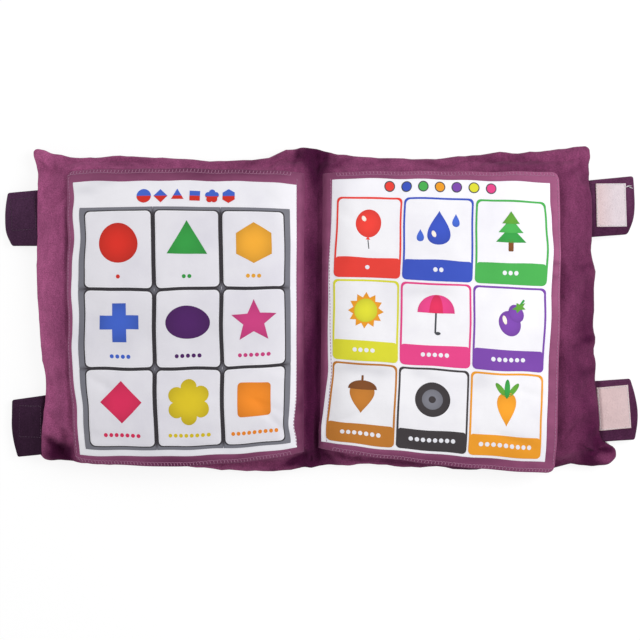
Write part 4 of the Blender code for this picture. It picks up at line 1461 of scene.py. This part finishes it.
def printed_cloth_material(name, base, use_ink):
    """White printed cotton with soft creases, the painted shade of its folds and random patches of
    painted shade; the inks are read from the piece's own colours.
    """
    made, tree, shader, place = start_material(name, 0.70, 0.12, 0.4)
    if use_ink:
        source = node(tree, "ShaderNodeVertexColor", {"layer_name": "ink"}).outputs["Color"]
    else:
        source = linear(base)
    # Random soft patches of painted shade, up to 8 per cent darker, for the shading of the wrinkles
    random_painted_shade = noise(tree, place, 17.0, 4.0, 0.55)
    tint = tone(tree, random_painted_shade, (0.92, 0.915, 0.94, 1), (1.0, 1.0, 1.0, 1), 0.30, 0.56)
    threads = weave(tree, place, 0.00050)
    shade = tone(tree, threads, (0.965, 0.965, 0.97, 1), (1.0, 1.0, 1.0, 1), 0.1, 0.9)
    # Painted shade of the soft folds, from the piece's values, darkens the white and the inks
    folded = tone(tree, shade_and_tint_of(tree), (1.0, 1.0, 1.0, 1), (0.62, 0.62, 0.65, 1))
    toned = multiplied(tree, multiplied(tree, source, tint), folded)
    tree.links.new(multiplied(tree, toned, shade), shader.inputs["Base Color"])
    broad = bump(tree, shader, noise(tree, place, 26.0, 2.0, 0.45, stretch=(1.0, 0.6, 1.0)), 0.5, 0.004)
    fine = bump(tree, shader, threads, 0.20, 0.0002, broad)
    bump(tree, shader, noise(tree, place, 60.0, 4.0, 0.55), 0.25, 0.0012, fine)
    return made


def film_material(name):
    """Thin crinkled film."""
    made, tree, shader, place = start_material(name, 0.22)
    shader.inputs["Transmission Weight"].default_value = 0.85
    shader.inputs["IOR"].default_value = 1.45
    crinkle = node(tree, "ShaderNodeTexVoronoi", Vector=place, Scale=90.0).outputs["Distance"]
    tint = tone(tree, crinkle, (0.80, 0.84, 0.90, 1), (0.96, 0.97, 0.98, 1))
    tree.links.new(tint, shader.inputs["Base Color"])
    bump(tree, shader, crinkle, 0.8, 0.0015)
    return made


def fibre_material(name, base):
    """Loose white filling of curled fibres."""
    made, tree, shader, place = start_material(name, 0.95, 0.5, 0.6)
    curls = noise(tree, place, 420.0, 6.0, 0.7, stretch=(1.0, 0.3, 1.0))
    low = tuple(part * 0.82 for part in base)
    tree.links.new(tone(tree, curls, linear(low), linear(base), 0.3, 0.7), shader.inputs["Base Color"])
    bump(tree, shader, curls, 0.8, 0.002)
    return made


def loop_material(name, base, blush):
    """The soft half of a closure: a felt of fine loops, tinted where its pile value is low."""
    made, tree, shader, place = start_material(name, 0.95, 0.4, 0.5)
    tint = tone(tree, shade_and_tint_of(tree), linear(blush), linear(base))
    loops = node(tree, "ShaderNodeTexVoronoi", Vector=place, Scale=1100.0).outputs["Distance"]
    shade = tone(tree, loops, (1.0, 1.0, 1.0, 1), (0.95, 0.94, 0.95, 1), 0.1, 0.8)
    clouds = noise(tree, place, 160.0, 4.0)
    cloudy = tone(tree, clouds, (0.94, 0.94, 0.95, 1), (1.02, 1.02, 1.02, 1), 0.3, 0.7)
    base_colour = multiplied(tree, multiplied(tree, tint, shade), cloudy)
    tree.links.new(base_colour, shader.inputs["Base Color"])
    bump(tree, shader, loops, 0.7, 0.0006)
    return made


def hook_material(name, base):
    """The stiff half of a closure: close rows of tiny hooks."""
    made, tree, shader, place = start_material(name, 0.55)
    hooks = node(tree, "ShaderNodeTexVoronoi", Vector=place, Scale=760.0, Randomness=0.35)
    hooks = hooks.outputs["Distance"]
    light = tuple(min(1.0, part * 1.9) for part in base)
    shade = tone(tree, hooks, linear(light), linear(base), 0.05, 0.5)
    tree.links.new(shade, shader.inputs["Base Color"])
    bump(tree, shader, hooks, 1.0, 0.0010)
    return made


def thread_material(name, base):
    """Twisted sewing thread."""
    made, tree, shader, place = start_material(name, 0.55, 0.3, 0.4)
    twist = node(
        tree, "ShaderNodeTexWave", {"bands_direction": "DIAGONAL"},
        Vector=place, Scale=700.0, Distortion=1.0,
    ).outputs["Fac"]
    low = tuple(part * 0.72 for part in base)
    tree.links.new(tone(tree, twist, linear(low), linear(base)), shader.inputs["Base Color"])
    bump(tree, shader, twist, 0.5, 0.0003)
    return made


# How each material is made, from its name and the colours in use
MATERIALS = {
    "plum_plush": lambda name, c: plush_material(name, c.plush_deep, c.plush_light, 0.12),
    "strap_plush": lambda name, c: plush_material(name, c.strap_deep, c.strap_light, 0.15),
    "dark_plush": lambda name, c: plush_material(name, c.dark_deep, c.dark_light, 0.10),
    "plum_cloth": lambda name, c: plum_cloth_material(name, c.border_deep, c.border_light),
    "printed_cloth": lambda name, c: printed_cloth_material(name, c.print_white, False),
    "printed_ink": lambda name, c: printed_cloth_material(name, c.print_white, True),
    "crinkle_film": lambda name, c: film_material(name),
    "white_fibre": lambda name, c: fibre_material(name, c.fibre),
    "loop_patch": lambda name, c: loop_material(name, c.loop, c.loop_blush),
    "hook_patch": lambda name, c: hook_material(name, c.hook),
    "thread": lambda name, c: thread_material(name, c.thread),
    "white_thread": lambda name, c: thread_material(name, (0.93, 0.92, 0.93)),
    "dark_thread": lambda name, c: thread_material(name, (0.30, 0.18, 0.29)),
}


def finish_piece(piece, material, slot):
    """Gives a piece its material, made once; the slot is not used."""
    made = bpy.data.materials.get(f"{material}_look")
    piece.data.materials.append(made or MATERIALS[material](material, settings().colours))
    return piece


def cloth_piece(name, points, direction, thickness, material, slot):
    """A closed cloth of even thickness round a grid of points."""
    skin, quads = skins(*rimmed(points, direction, thickness))
    return finish_piece(make_piece(name, skin, quads), material, slot)


def painted_shading_sum(x, y, leans):
    """Sum of a table's painted light and shade at places: each is strongest at its middle and fades
    like a bell.
    """
    total = np.zeros(np.broadcast(x, y).shape)
    for place_x, place_y, reach_x, reach_y, part in leans:
        far = ((x / MM - place_x) / reach_x) ** 2 + ((y / MM - place_y) / reach_y) ** 2
        total += part * np.exp(-far)
    return total


def painted_plush_shade(x, y):
    """Painted light and shade on the plush: painted lighter towards the left cover and darker towards
    the right one, painted shade in the gutter and the folds, and more or less in the table's places."""
    across = (x - SPINE_X) / 0.28
    lean = 0.45 - 0.27 * across - 0.44 * np.exp(-((across / 0.048) ** 2))
    return lean - 55.0 * crease(x, y, PLUSH_FOLDS) + painted_shading_sum(x, y, PLUSH_PAINTED_SHADING)


def keep_shade_and_tint(piece, values):
    """Keeps painted light and shade on the piece, for its material, in the attribute pile; on a loop
    patch the value is the share of its blush.
    """
    pile = piece.data.attributes.new("pile", "FLOAT", "POINT")
    pile.data.foreach_set("value", np.clip(values, 0, 1).astype(np.float32))


def points_of(piece):
    """The piece's points."""
    found = np.empty(len(piece.data.vertices) * 3, np.float32)
    piece.data.vertices.foreach_get("co", found)
    return found.reshape(-1, 3)


def shade_folds(piece):
    """Shades a print's soft folds."""
    x, y, _ = points_of(piece).T
    keep_shade_and_tint(piece, painted_shading_sum(x, y, PRINT_PAINTED_SHADE))


class CLOTHBOOK_OT_plush_covers(bpy.types.Operator):
    """Make the stuffed plush covers and spine as one padded piece"""

    bl_idname = "cloth_book.plush_covers"
    bl_label = "Plush Covers"

    def execute(self, context):
        faces = cushion_faces()
        points, quads = skins(*faces)
        piece = finish_piece(make_piece("plush_covers", points, quads), "plum_plush", "plum_plush")
        under = np.arange(len(points)) >= faces[0][..., 0].size
        # Painted light and shade on the upper face, and one even tone on the underside
        keep_shade_and_tint(piece, np.where(under, 0.32, painted_plush_shade(points[:, 0], points[:, 1])))
        bend_with_book(piece)
        parts = ("right", "left", "spine")
        panels = [f"{part}_{face}_panel" for part in parts for face in ("inner", "outer")]
        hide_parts(*panels)
        return {"FINISHED"}


class CLOTHBOOK_OT_filling(bpy.types.Operator):
    """Make the fibre filling inside the covers and spine"""

    bl_idname = "cloth_book.filling"
    bl_label = "Filling"

    def execute(self, context):
        faces = cushion_faces(settings().cushion.filling_inset)
        points, quads = skins(*faces)
        piece = finish_piece(make_piece("fibre_filling", points, quads), "white_fibre", "white_fibre")
        bend_with_book(piece)
        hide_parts("right_filling", "left_filling", "spine_filling")
        return {"FINISHED"}


def sewn_sheet(side, start, end, tall, height):
    """A grid on a cover between two distances from the spine, at a height over the cover."""
    leaf = settings().leaf
    wide = end - start
    offsets = start + spread(wide, 0.006, RIM, RIM_LINES) * wide
    reach = 2 * tall * leaf.half_tall
    y = MIDDLE_Y + (spread(reach, 0.006, RIM, RIM_LINES) - 0.5) * reach
    x, y = np.meshgrid(SPINE_X + OUTWARD[side] * offsets, y, indexing="ij")
    return np.stack((x, y, sewn_page_height(x, y) + height), axis=-1), (wide, reach)


class CLOTHBOOK_OT_sewn_pages(bpy.types.Operator):
    """Make the pages sewn to the covers, with their printed cloths"""

    bl_idname = "cloth_book.sewn_pages"
    bl_label = "Sewn Pages"

    def execute(self, context):
        leaf = settings().leaf
        for side in SIDES:
            out = COVER_PAGE_OUT[side]
            page, flat = sewn_sheet(side, leaf.page_in, out, leaf.page_tall, PAGE_SEAT + leaf.cloth / 2)
            piece = cloth_piece(f"{side}_sewn_page", page, UP, leaf.cloth, "plum_cloth", "plum_cloth")
            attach(piece, f"{side}_cover")
            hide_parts(f"{side}_cover_page")
            start, end = leaf.page_in + PAGE_BORDER, out - PAGE_BORDER
            height = PAGE_SEAT + leaf.cloth + PRINT_SEAT + leaf.printed / 2
            page, flat = sewn_sheet(side, start, end, leaf.print_tall, height)
            name, cloth = f"{side}_sewn_print", "printed_cloth"
            piece = cloth_piece(name, page, UP, leaf.printed, cloth, cloth)
            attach(piece, f"{side}_cover")
            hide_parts(f"{side}_cover_print")
        return {"FINISHED"}


class CLOTHBOOK_OT_leaf_cloths(bpy.types.Operator):
    """Make the two plum cloths of each free leaf, and the crinkling film between them"""

    bl_idname = "cloth_book.leaf_cloths"
    bl_label = "Leaf Cloths"

    def execute(self, context):
        leaf = settings().leaf
        layers = {
            "back_cloth": (-leaf.border_puff, leaf.cloth, "plum_cloth"),
            "crinkle_film": (0.0, leaf.film, "crinkle_film"),
            "front_cloth": (leaf.border_puff, leaf.cloth, "plum_cloth"),
        }
        for side in SIDES:
            for part, (puff, thickness, material) in layers.items():
                points = leaf_sheet(side, LEAF_LAYERS[part], puff)
                if part == "crinkle_film":
                    points = points[FILM_LINES]
                name = f"{side}_leaf_{part}_piece"
                piece = cloth_piece(name, points, normals(points), thickness, material, material)
                x, y, _ = points_of(piece).T
                # Painted light and shade on the leaf's cloths, round a middle tone
                keep_shade_and_tint(piece, 0.5 + painted_shading_sum(x, y, BORDER_PAINTED_SHADING))
                bend_with_leaf(piece, side)
                nodes = [f"{side}_leaf_{part}"]
                if part == "front_cloth":
                    nodes.append(f"{side}_leaf_root")
                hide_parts(*nodes)
        return {"FINISHED"}


class CLOTHBOOK_OT_printed_cloths(bpy.types.Operator):
    """Make the white printed cloths on both faces of each leaf"""

    bl_idname = "cloth_book.printed_cloths"
    bl_label = "Printed Cloths"

    def execute(self, context):
        leaf, cloth = settings().leaf, "printed_cloth"
        for side in SIDES:
            wide, tall = (part * MM for part in PRINT_FLAT[side])
            near = fold_lines(spread(wide, 0.0026, RIM, RIM_LINES), wide)
            s = near if side == "right" else 1 - near[::-1]
            s, t = np.meshgrid(s, spread(tall, 0.0030, RIM, RIM_LINES), indexing="ij")
            xy = print_place(side, s, t)
            for face, height in (("front", FRONT_FACE - leaf.printed / 2), ("back", leaf.printed / 2)):
                points = with_height(xy, leaf_rest(xy[..., 0], xy[..., 1]) + height)
                name = f"{side}_{face}_white_cloth"
                piece = cloth_piece(name, points, UP, leaf.printed, cloth, cloth)
                if face == "front":
                    shade_folds(piece)
                bend_with_leaf(piece, side)
                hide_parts(f"{side}_leaf_{face}_print")
        return {"FINISHED"}


class CLOTHBOOK_OT_prints(bpy.types.Operator):
    """Make the inks of the shape chart and of the colour cards"""

    bl_idname = "cloth_book.prints"
    bl_label = "Prints"

    def execute(self, context):
        for side, name, draw in (
            ("left", "shape_chart", shape_chart),
            ("right", "colour_cards", colour_cards),
            ("right", "card_pictures", card_pictures),
        ):
            sheet = InkSheet(side)
            draw(sheet)
            piece = finish_piece(sheet.piece(name), "printed_ink", "printed_cloth")
            shade_folds(piece)
            bend_with_leaf(piece, side)
        return {"FINISHED"}


def stitched(starts, ends, radius, lift):
    """Short stitches from start to end, each a tube that arches over the cloth and dips at its ends."""
    part = np.array((0.0, 0.12, 0.5, 0.88, 1.0))
    rise = np.array((-0.6, 0.5, 1.0, 0.5, -0.6)) * lift
    paths = starts[:, None] + part[None, :, None] * (ends - starts)[:, None]
    paths[..., 2] += rise
    return tubes(paths, radius * np.array((0.55, 0.95, 1.0, 0.95, 0.55)), sides=5)


def on_leaf(side, a, b):
    """Points on the front of a leaf's border."""
    leaf = settings().leaf
    points = leaf_surface(side, a, b, LEAF_LAYERS["front_cloth"], leaf.border_puff)
    points[..., 2] += leaf.cloth / 2
    return points


class CLOTHBOOK_OT_leaf_stitches(bpy.types.Operator):
    """Make the overlock stitches along the leaves' ends and the straight seams up their sides"""

    bl_idname = "cloth_book.leaf_stitches"
    bl_label = "Leaf Stitches"

    def execute(self, context):
        size = settings().stitch
        for side in SIDES:
            wide, tall = LEAF_FLAT[side]
            rows = []
            pitch, long = size.overlock_pitch / wide, size.overlock_long / tall
            a = np.arange(0.055, 0.985, pitch)
            for edge, way in ((0.0, 1), (1.0, -1)):
                b0 = np.full_like(a, edge + way * OVERLOCK_INSET / tall)
                b1 = np.full_like(a, edge + way * (OVERLOCK_INSET / tall + long))
                starts, ends = on_leaf(side, a, b0), on_leaf(side, a + 0.25 * pitch, b1)
                rows.append(stitched(starts, ends, size.thread, size.thread))
                chain = on_leaf(side, a + 1.15 * pitch, b1)
                rows.append(stitched(ends, chain, size.thread * 0.8, size.thread))
            pitch = size.straight_pitch / tall
            b = np.arange(0.03, 0.97, pitch)
            for edge in (INNER_INSET / wide, 1 - size.straight_inset / wide):
                column = np.full_like(b, edge)
                starts, ends = on_leaf(side, column, b), on_leaf(side, column, b + 0.76 * pitch)
                rows.append(stitched(starts, ends, size.thread, size.thread * 0.6))
            piece = make_piece(f"{side}_leaf_stitches", *joined(rows))
            finish_piece(piece, "thread", "plum_cloth")
            bend_with_leaf(piece, side)
        return {"FINISHED"}


def strap_frame(name):
    """Hinge of a strap, directions along its seam and away from it, and how far it reaches out."""
    side = name.split("_")[0]
    joint = JOINTS[f"{name}_strap_flex"]
    hinge = np.array(joint["pos_m"])
    along = np.array(joint["axis"]) * math.copysign(1, joint["axis"][1])
    away = OUTWARD[side] * np.array((along[1], -along[0], 0.0))
    low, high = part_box(f"{name}_strap")
    return hinge, along, away, abs((high if side == "right" else low).x - hinge[0])


def strap_point(name, outs, ways, height):
    """Points of a strap: out from its hinge, along the seam and above its sloping middle, which dives
    under the seam at the root."""
    size = settings().strap
    hinge, along, away, long = strap_frame(name)
    fall = size.fall * np.clip(outs / long, -0.2, 1)
    dive = size.dive * ramp((0.003 - outs) / 0.006)
    dip = 0.0008 * ripple(outs + hinge[1], ways, 0.035, settings().seed + 9)
    points = hinge + outs[..., None] * away + ways[..., None] * along
    return points + (height - fall - dive + dip)[..., None] * UP


def bend_with_strap(piece):
    """Bakes the piece's place into its points; nothing here bends it out of the side seam."""
    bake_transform(piece)


def strap_plan(name, s, w):
    """Plan of a strap from its shares out and along, and the distance of each place from its edge."""
    plan = STRAP_PLANS[name]
    root = settings().strap.root
    tip = curve_through(np.stack((np.linspace(0, 1, 5), plan["out"]), axis=-1), w) * MM
    low, high = (np.array(plan[end]) * MM for end in ("root", "tip"))
    wide = high[1] - high[0]
    edge = np.minimum((1 - s) * (tip + root), np.minimum(w, 1 - w) * wide)
    usual_reach = 0.042
    s, w = rounded_shares(s, w, usual_reach, wide, settings().strap.corner)
    outs = -root + s * (tip + root)
    start, end = low[0] + (low[1] - low[0]) * w, high[0] + (high[1] - high[0]) * w
    return outs, start + s * (end - start), edge


class CLOTHBOOK_OT_straps(bpy.types.Operator):
    """Make the four closure straps of folded plush"""

    bl_idname = "cloth_book.straps"
    bl_label = "Straps"

    def execute(self, context):
        size = settings().strap
        s = spread(1.0, 0.030, 0.010, (0.025, 0.045, 0.07, 0.095, 0.12))
        w = spread(1.0, 0.022, 0.007, (0.017, 0.03, 0.045, 0.062, 0.08))
        shares = np.meshgrid(s, w, indexing="ij")
        # The rounded rim, and the edge seam's distance from it and half width, in metres
        rim, seam_inset, seam_half = 0.0022, 0.0036, 0.0008
        for name in STRAP_PLANS:
            outs, ways, edge = strap_plan(name, *shares)
            swell = np.sqrt(np.clip(1 - np.clip(1 - edge / rim, 0, 1) ** 2, 0, 1))
            groove = 1 - 0.30 * np.exp(-(((edge - seam_inset) / seam_half) ** 2))
            half = size.cloth / 2 * swell * groove * (0.55 + 0.45 * ramp((outs + 0.002) / 0.008))
            points, quads = skins(*(strap_point(name, outs, ways, height) for height in (half, -half)))
            piece = make_piece(f"{name}_strap_piece", points, quads)
            looks = ("dark_plush",) * 2 if name.startswith("left") else ("strap_plush", "plum_plush")
            finish_piece(piece, *looks)
            hinge, along, _, _ = strap_frame(name)
            ways = (points - hinge) @ along
            # Painted light and shade: each strap's own tone, painted lighter up the seam and darker
            # down it
            keep_shade_and_tint(piece, STRAP_PAINTED_SHADING[name] + 0.14 * np.clip(ways / 0.030, -1, 1))
            bend_with_strap(piece)
            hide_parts(f"{name}_strap")
        return {"FINISHED"}


def patch_grid(name):
    """Places of a patch on its strap, out and along."""
    middle, start, end = (part * MM for part in PATCH_PLANS[name])
    outs = start + spread(1.0, 0.02, 0.008, (0.02,)) * (end - start)
    ways = middle + (spread(1.0, 0.016, 0.006, (0.015,)) - 0.5) * settings().strap.patch_tall
    return np.meshgrid(outs, ways, indexing="ij")


class CLOTHBOOK_OT_closure_patches(bpy.types.Operator):
    """Make the loop patches on the right straps and the hook patches under the left ones"""

    bl_idname = "cloth_book.closure_patches"
    bl_label = "Closure Patches"

    def execute(self, context):
        size = settings().strap
        for name in STRAP_PLANS:
            soft = name.startswith("right")
            outs, ways = patch_grid(name)
            seat = (size.cloth / 2 + size.patch / 2) * (1 if soft else -1)
            felt = 0.00016 * ripple(outs, ways, 0.0032, 3) * (1 if soft else 0.4)
            points = strap_point(name, outs, ways, seat + felt)
            material = "loop_patch" if soft else "hook_patch"
            piece = cloth_piece(f"{name}_{material}_piece", points, UP, size.patch, material, material)
            hinge, _, away, _ = strap_frame(name)
            inner = ((points_of(piece) - hinge) @ away - outs.min()) / np.ptp(outs)
            start, rise = PATCH_LEANS[name]
            keep_shade_and_tint(piece, start + inner * rise)
            bend_with_strap(piece)
            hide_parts(f"{name}_{material}")
        return {"FINISHED"}


def seam_round(name, inset, pitch):
    """Straight stitches round a patch, a little inside its edge; on the left straps, whose patches
    are underneath, the box that they make shows on the upper side."""
    size = settings().strap
    outs, ways = patch_grid(name)
    soft = name.startswith("right")
    foot = ways.min() + (0.0 if soft else HOOK_BOX_FOOT)
    left, right, low, high = outs.min() + inset, outs.max() - inset, foot + inset, ways.max() - inset
    corners = np.array(((left, low), (right, low), (right, high), (left, high)))
    starts, ends = [], []
    for first, second in zip(corners, np.roll(corners, -1, axis=0)):
        count = max(2, round(np.linalg.norm(second - first) / pitch))
        part = np.arange(count)[:, None] / count
        starts.append(first + part * (second - first))
        ends.append(first + (part + 0.72 / count) * (second - first))
    starts, ends = np.concatenate(starts), np.concatenate(ends)
    height = size.cloth / 2 + (size.patch if soft else 0.0)
    return [strap_point(name, *each.T, np.full(len(each), height)) for each in (starts, ends)]


class CLOTHBOOK_OT_strap_stitches(bpy.types.Operator):
    """Make the stitches that hold the patches, and the loose thread ends"""

    bl_idname = "cloth_book.strap_stitches"
    bl_label = "Strap Stitches"

    def execute(self, context):
        size, strap = settings().stitch, settings().strap
        for name in STRAP_PLANS:
            starts, ends = seam_round(name, inset=0.0012, pitch=0.0028)
            row = stitched(starts, ends, size.thread * 0.9, size.thread * 0.5)
            soft = name.startswith("right")
            looks = ("white_thread", "loop_patch") if soft else ("dark_thread", "dark_plush")
            piece = finish_piece(make_piece(f"{name}_strap_stitches", *row), *looks)
            bend_with_strap(piece)
        name = "right_upper"
        outs, ways = patch_grid(name)
        part = np.linspace(0, 1, 12)
        tails = []
        for lean, long, height in ((0.35, 0.0065, 0.0008), (-0.05, 0.0080, 0.0005)):
            out = outs.max() + part * long
            way = ways.max() - 0.004 + lean * part * long + 0.0007 * np.sin(part * 5)
            lift = strap.cloth / 2 + strap.patch * (1 - part) + height * np.sin(part * 3)
            tails.append(strap_point(name, out, way, lift))
        radii = size.thread * 0.7 * np.sqrt(np.clip(1.02 - (2 * part - 1) ** 12, 0, 1))
        piece = make_piece("right_upper_thread_ends", *tubes(np.array(tails), radii))
        finish_piece(piece, "white_thread", "loop_patch")
        bend_with_strap(piece)
        return {"FINISHED"}


def background_shader(tree, shader, white, part):
    """The shader as the light sees it, and the given share of plain white as the camera and mirrors
    see it."""
    path = node(tree, "ShaderNodeLightPath").outputs
    seen = added(tree, path["Is Camera Ray"], path["Is Glossy Ray"], "MAXIMUM")
    seen = added(tree, seen, path["Is Transmission Ray"], "MAXIMUM")
    mix = node(tree, "ShaderNodeMixShader")
    for number, source in enumerate((added(tree, seen, part, "MULTIPLY"), shader, white)):
        tree.links.new(source, mix.inputs[number])
    return mix.outputs[0]


def area_lamp(name, place, size, power):
    """A soft square lamp that looks at the book's middle."""
    lamp = bpy.data.lights.new(name, "AREA")
    lamp.energy, lamp.size = power, size
    made = bpy.data.objects.new(name, lamp)
    bpy.context.scene.collection.objects.link(made)
    turn = np.array(place) / np.linalg.norm(place)
    made.location = place
    made.rotation_euler = (math.acos(turn[2]), 0, math.atan2(turn[0], -turn[1]))


class CLOTHBOOK_OT_stage(bpy.types.Operator):
    """Make the floor, the lights and the camera"""

    bl_idname = "cloth_book.stage"
    bl_label = "Stage"

    def execute(self, context):
        size = settings().stage
        half = size.floor_half
        # Space under the book, and how bright the camera's white is and how far it covers the floor
        sunk, glow, cover = 0.0002, 1.07, 0.80
        corners = np.array(((-half, -half, 0), (half, -half, 0), (half, half, 0), (-half, half, 0)))
        floor = make_piece("floor", corners - (0, 0, sunk), np.array(((0, 1, 2, 3),)))
        made = bpy.data.materials.new("floor")
        made.use_nodes = True
        tree = made.node_tree
        tree.nodes.clear()
        matt = node(tree, "ShaderNodeBsdfDiffuse", Color=(0.90, 0.90, 0.90, 1)).outputs[0]
        white = node(tree, "ShaderNodeEmission", Color=(1, 1, 1, 1), Strength=glow).outputs[0]
        output = node(tree, "ShaderNodeOutputMaterial")
        tree.links.new(background_shader(tree, matt, white, cover), output.inputs["Surface"])
        floor.data.materials.append(made)
        world = bpy.data.worlds.new("studio")
        context.scene.world = world
        world.use_nodes = True
        tree = world.node_tree
        tree.nodes.clear()
        light = node(tree, "ShaderNodeBackground", Color=(1, 1, 1, 1), Strength=size.sky).outputs[0]
        white = node(tree, "ShaderNodeBackground", Color=(1, 1, 1, 1), Strength=1.0).outputs[0]
        output = node(tree, "ShaderNodeOutputWorld")
        tree.links.new(background_shader(tree, light, white, 1.0), output.inputs["Surface"])
        area_lamp("key", (-1.15, 0.45, 0.75), 0.7, size.key_power)
        area_lamp("fill", (0.66, 0.20, 0.80), 0.6, size.fill_power)
        camera = bpy.data.cameras.new("camera")
        camera.lens = size.lens
        view = bpy.data.objects.new("camera", camera)
        view.location = (size.camera_x, size.camera_y, size.camera_height)
        context.scene.collection.objects.link(view)
        context.scene.camera = view
        context.scene.view_settings.view_transform = "Standard"
        return {"FINISHED"}


class CLOTHBOOK_PT_panel(bpy.types.Panel):
    """The steps of the cloth book, in order"""

    bl_idname = "CLOTHBOOK_PT_panel"
    bl_label = "Cloth Book"
    bl_space_type = "VIEW_3D"
    bl_region_type = "UI"
    bl_category = "Cloth Book"

    def draw(self, context):
        for step in STEPS:
            self.layout.operator(step.bl_idname)


STEPS = (
    CLOTHBOOK_OT_plush_covers,
    CLOTHBOOK_OT_filling,
    CLOTHBOOK_OT_sewn_pages,
    CLOTHBOOK_OT_leaf_cloths,
    CLOTHBOOK_OT_printed_cloths,
    CLOTHBOOK_OT_prints,
    CLOTHBOOK_OT_leaf_stitches,
    CLOTHBOOK_OT_straps,
    CLOTHBOOK_OT_closure_patches,
    CLOTHBOOK_OT_strap_stitches,
    CLOTHBOOK_OT_stage,
)
GROUPS = (
    ClothBookCushion,
    ClothBookLeaf,
    ClothBookStrap,
    ClothBookStitch,
    ClothBookColours,
    ClothBookStage,
    ClothBookSettings,
)


def register():
    """Makes the settings, the steps and the panel known to Blender."""
    for kind in (*GROUPS, *STEPS, CLOTHBOOK_PT_panel):
        bpy.utils.register_class(kind)
    bpy.types.Scene.cloth_book = PointerProperty(type=ClothBookSettings)


def unregister():
    """Takes them away again."""
    del bpy.types.Scene.cloth_book
    for kind in reversed((*GROUPS, *STEPS, CLOTHBOOK_PT_panel)):
        bpy.utils.unregister_class(kind)


def main():
    """Builds the book by its steps."""
    register()
    for step in STEPS:
        group, name = step.bl_idname.split(".")
        getattr(getattr(bpy.ops, group), name)()


if __name__ == "__main__":
    main()
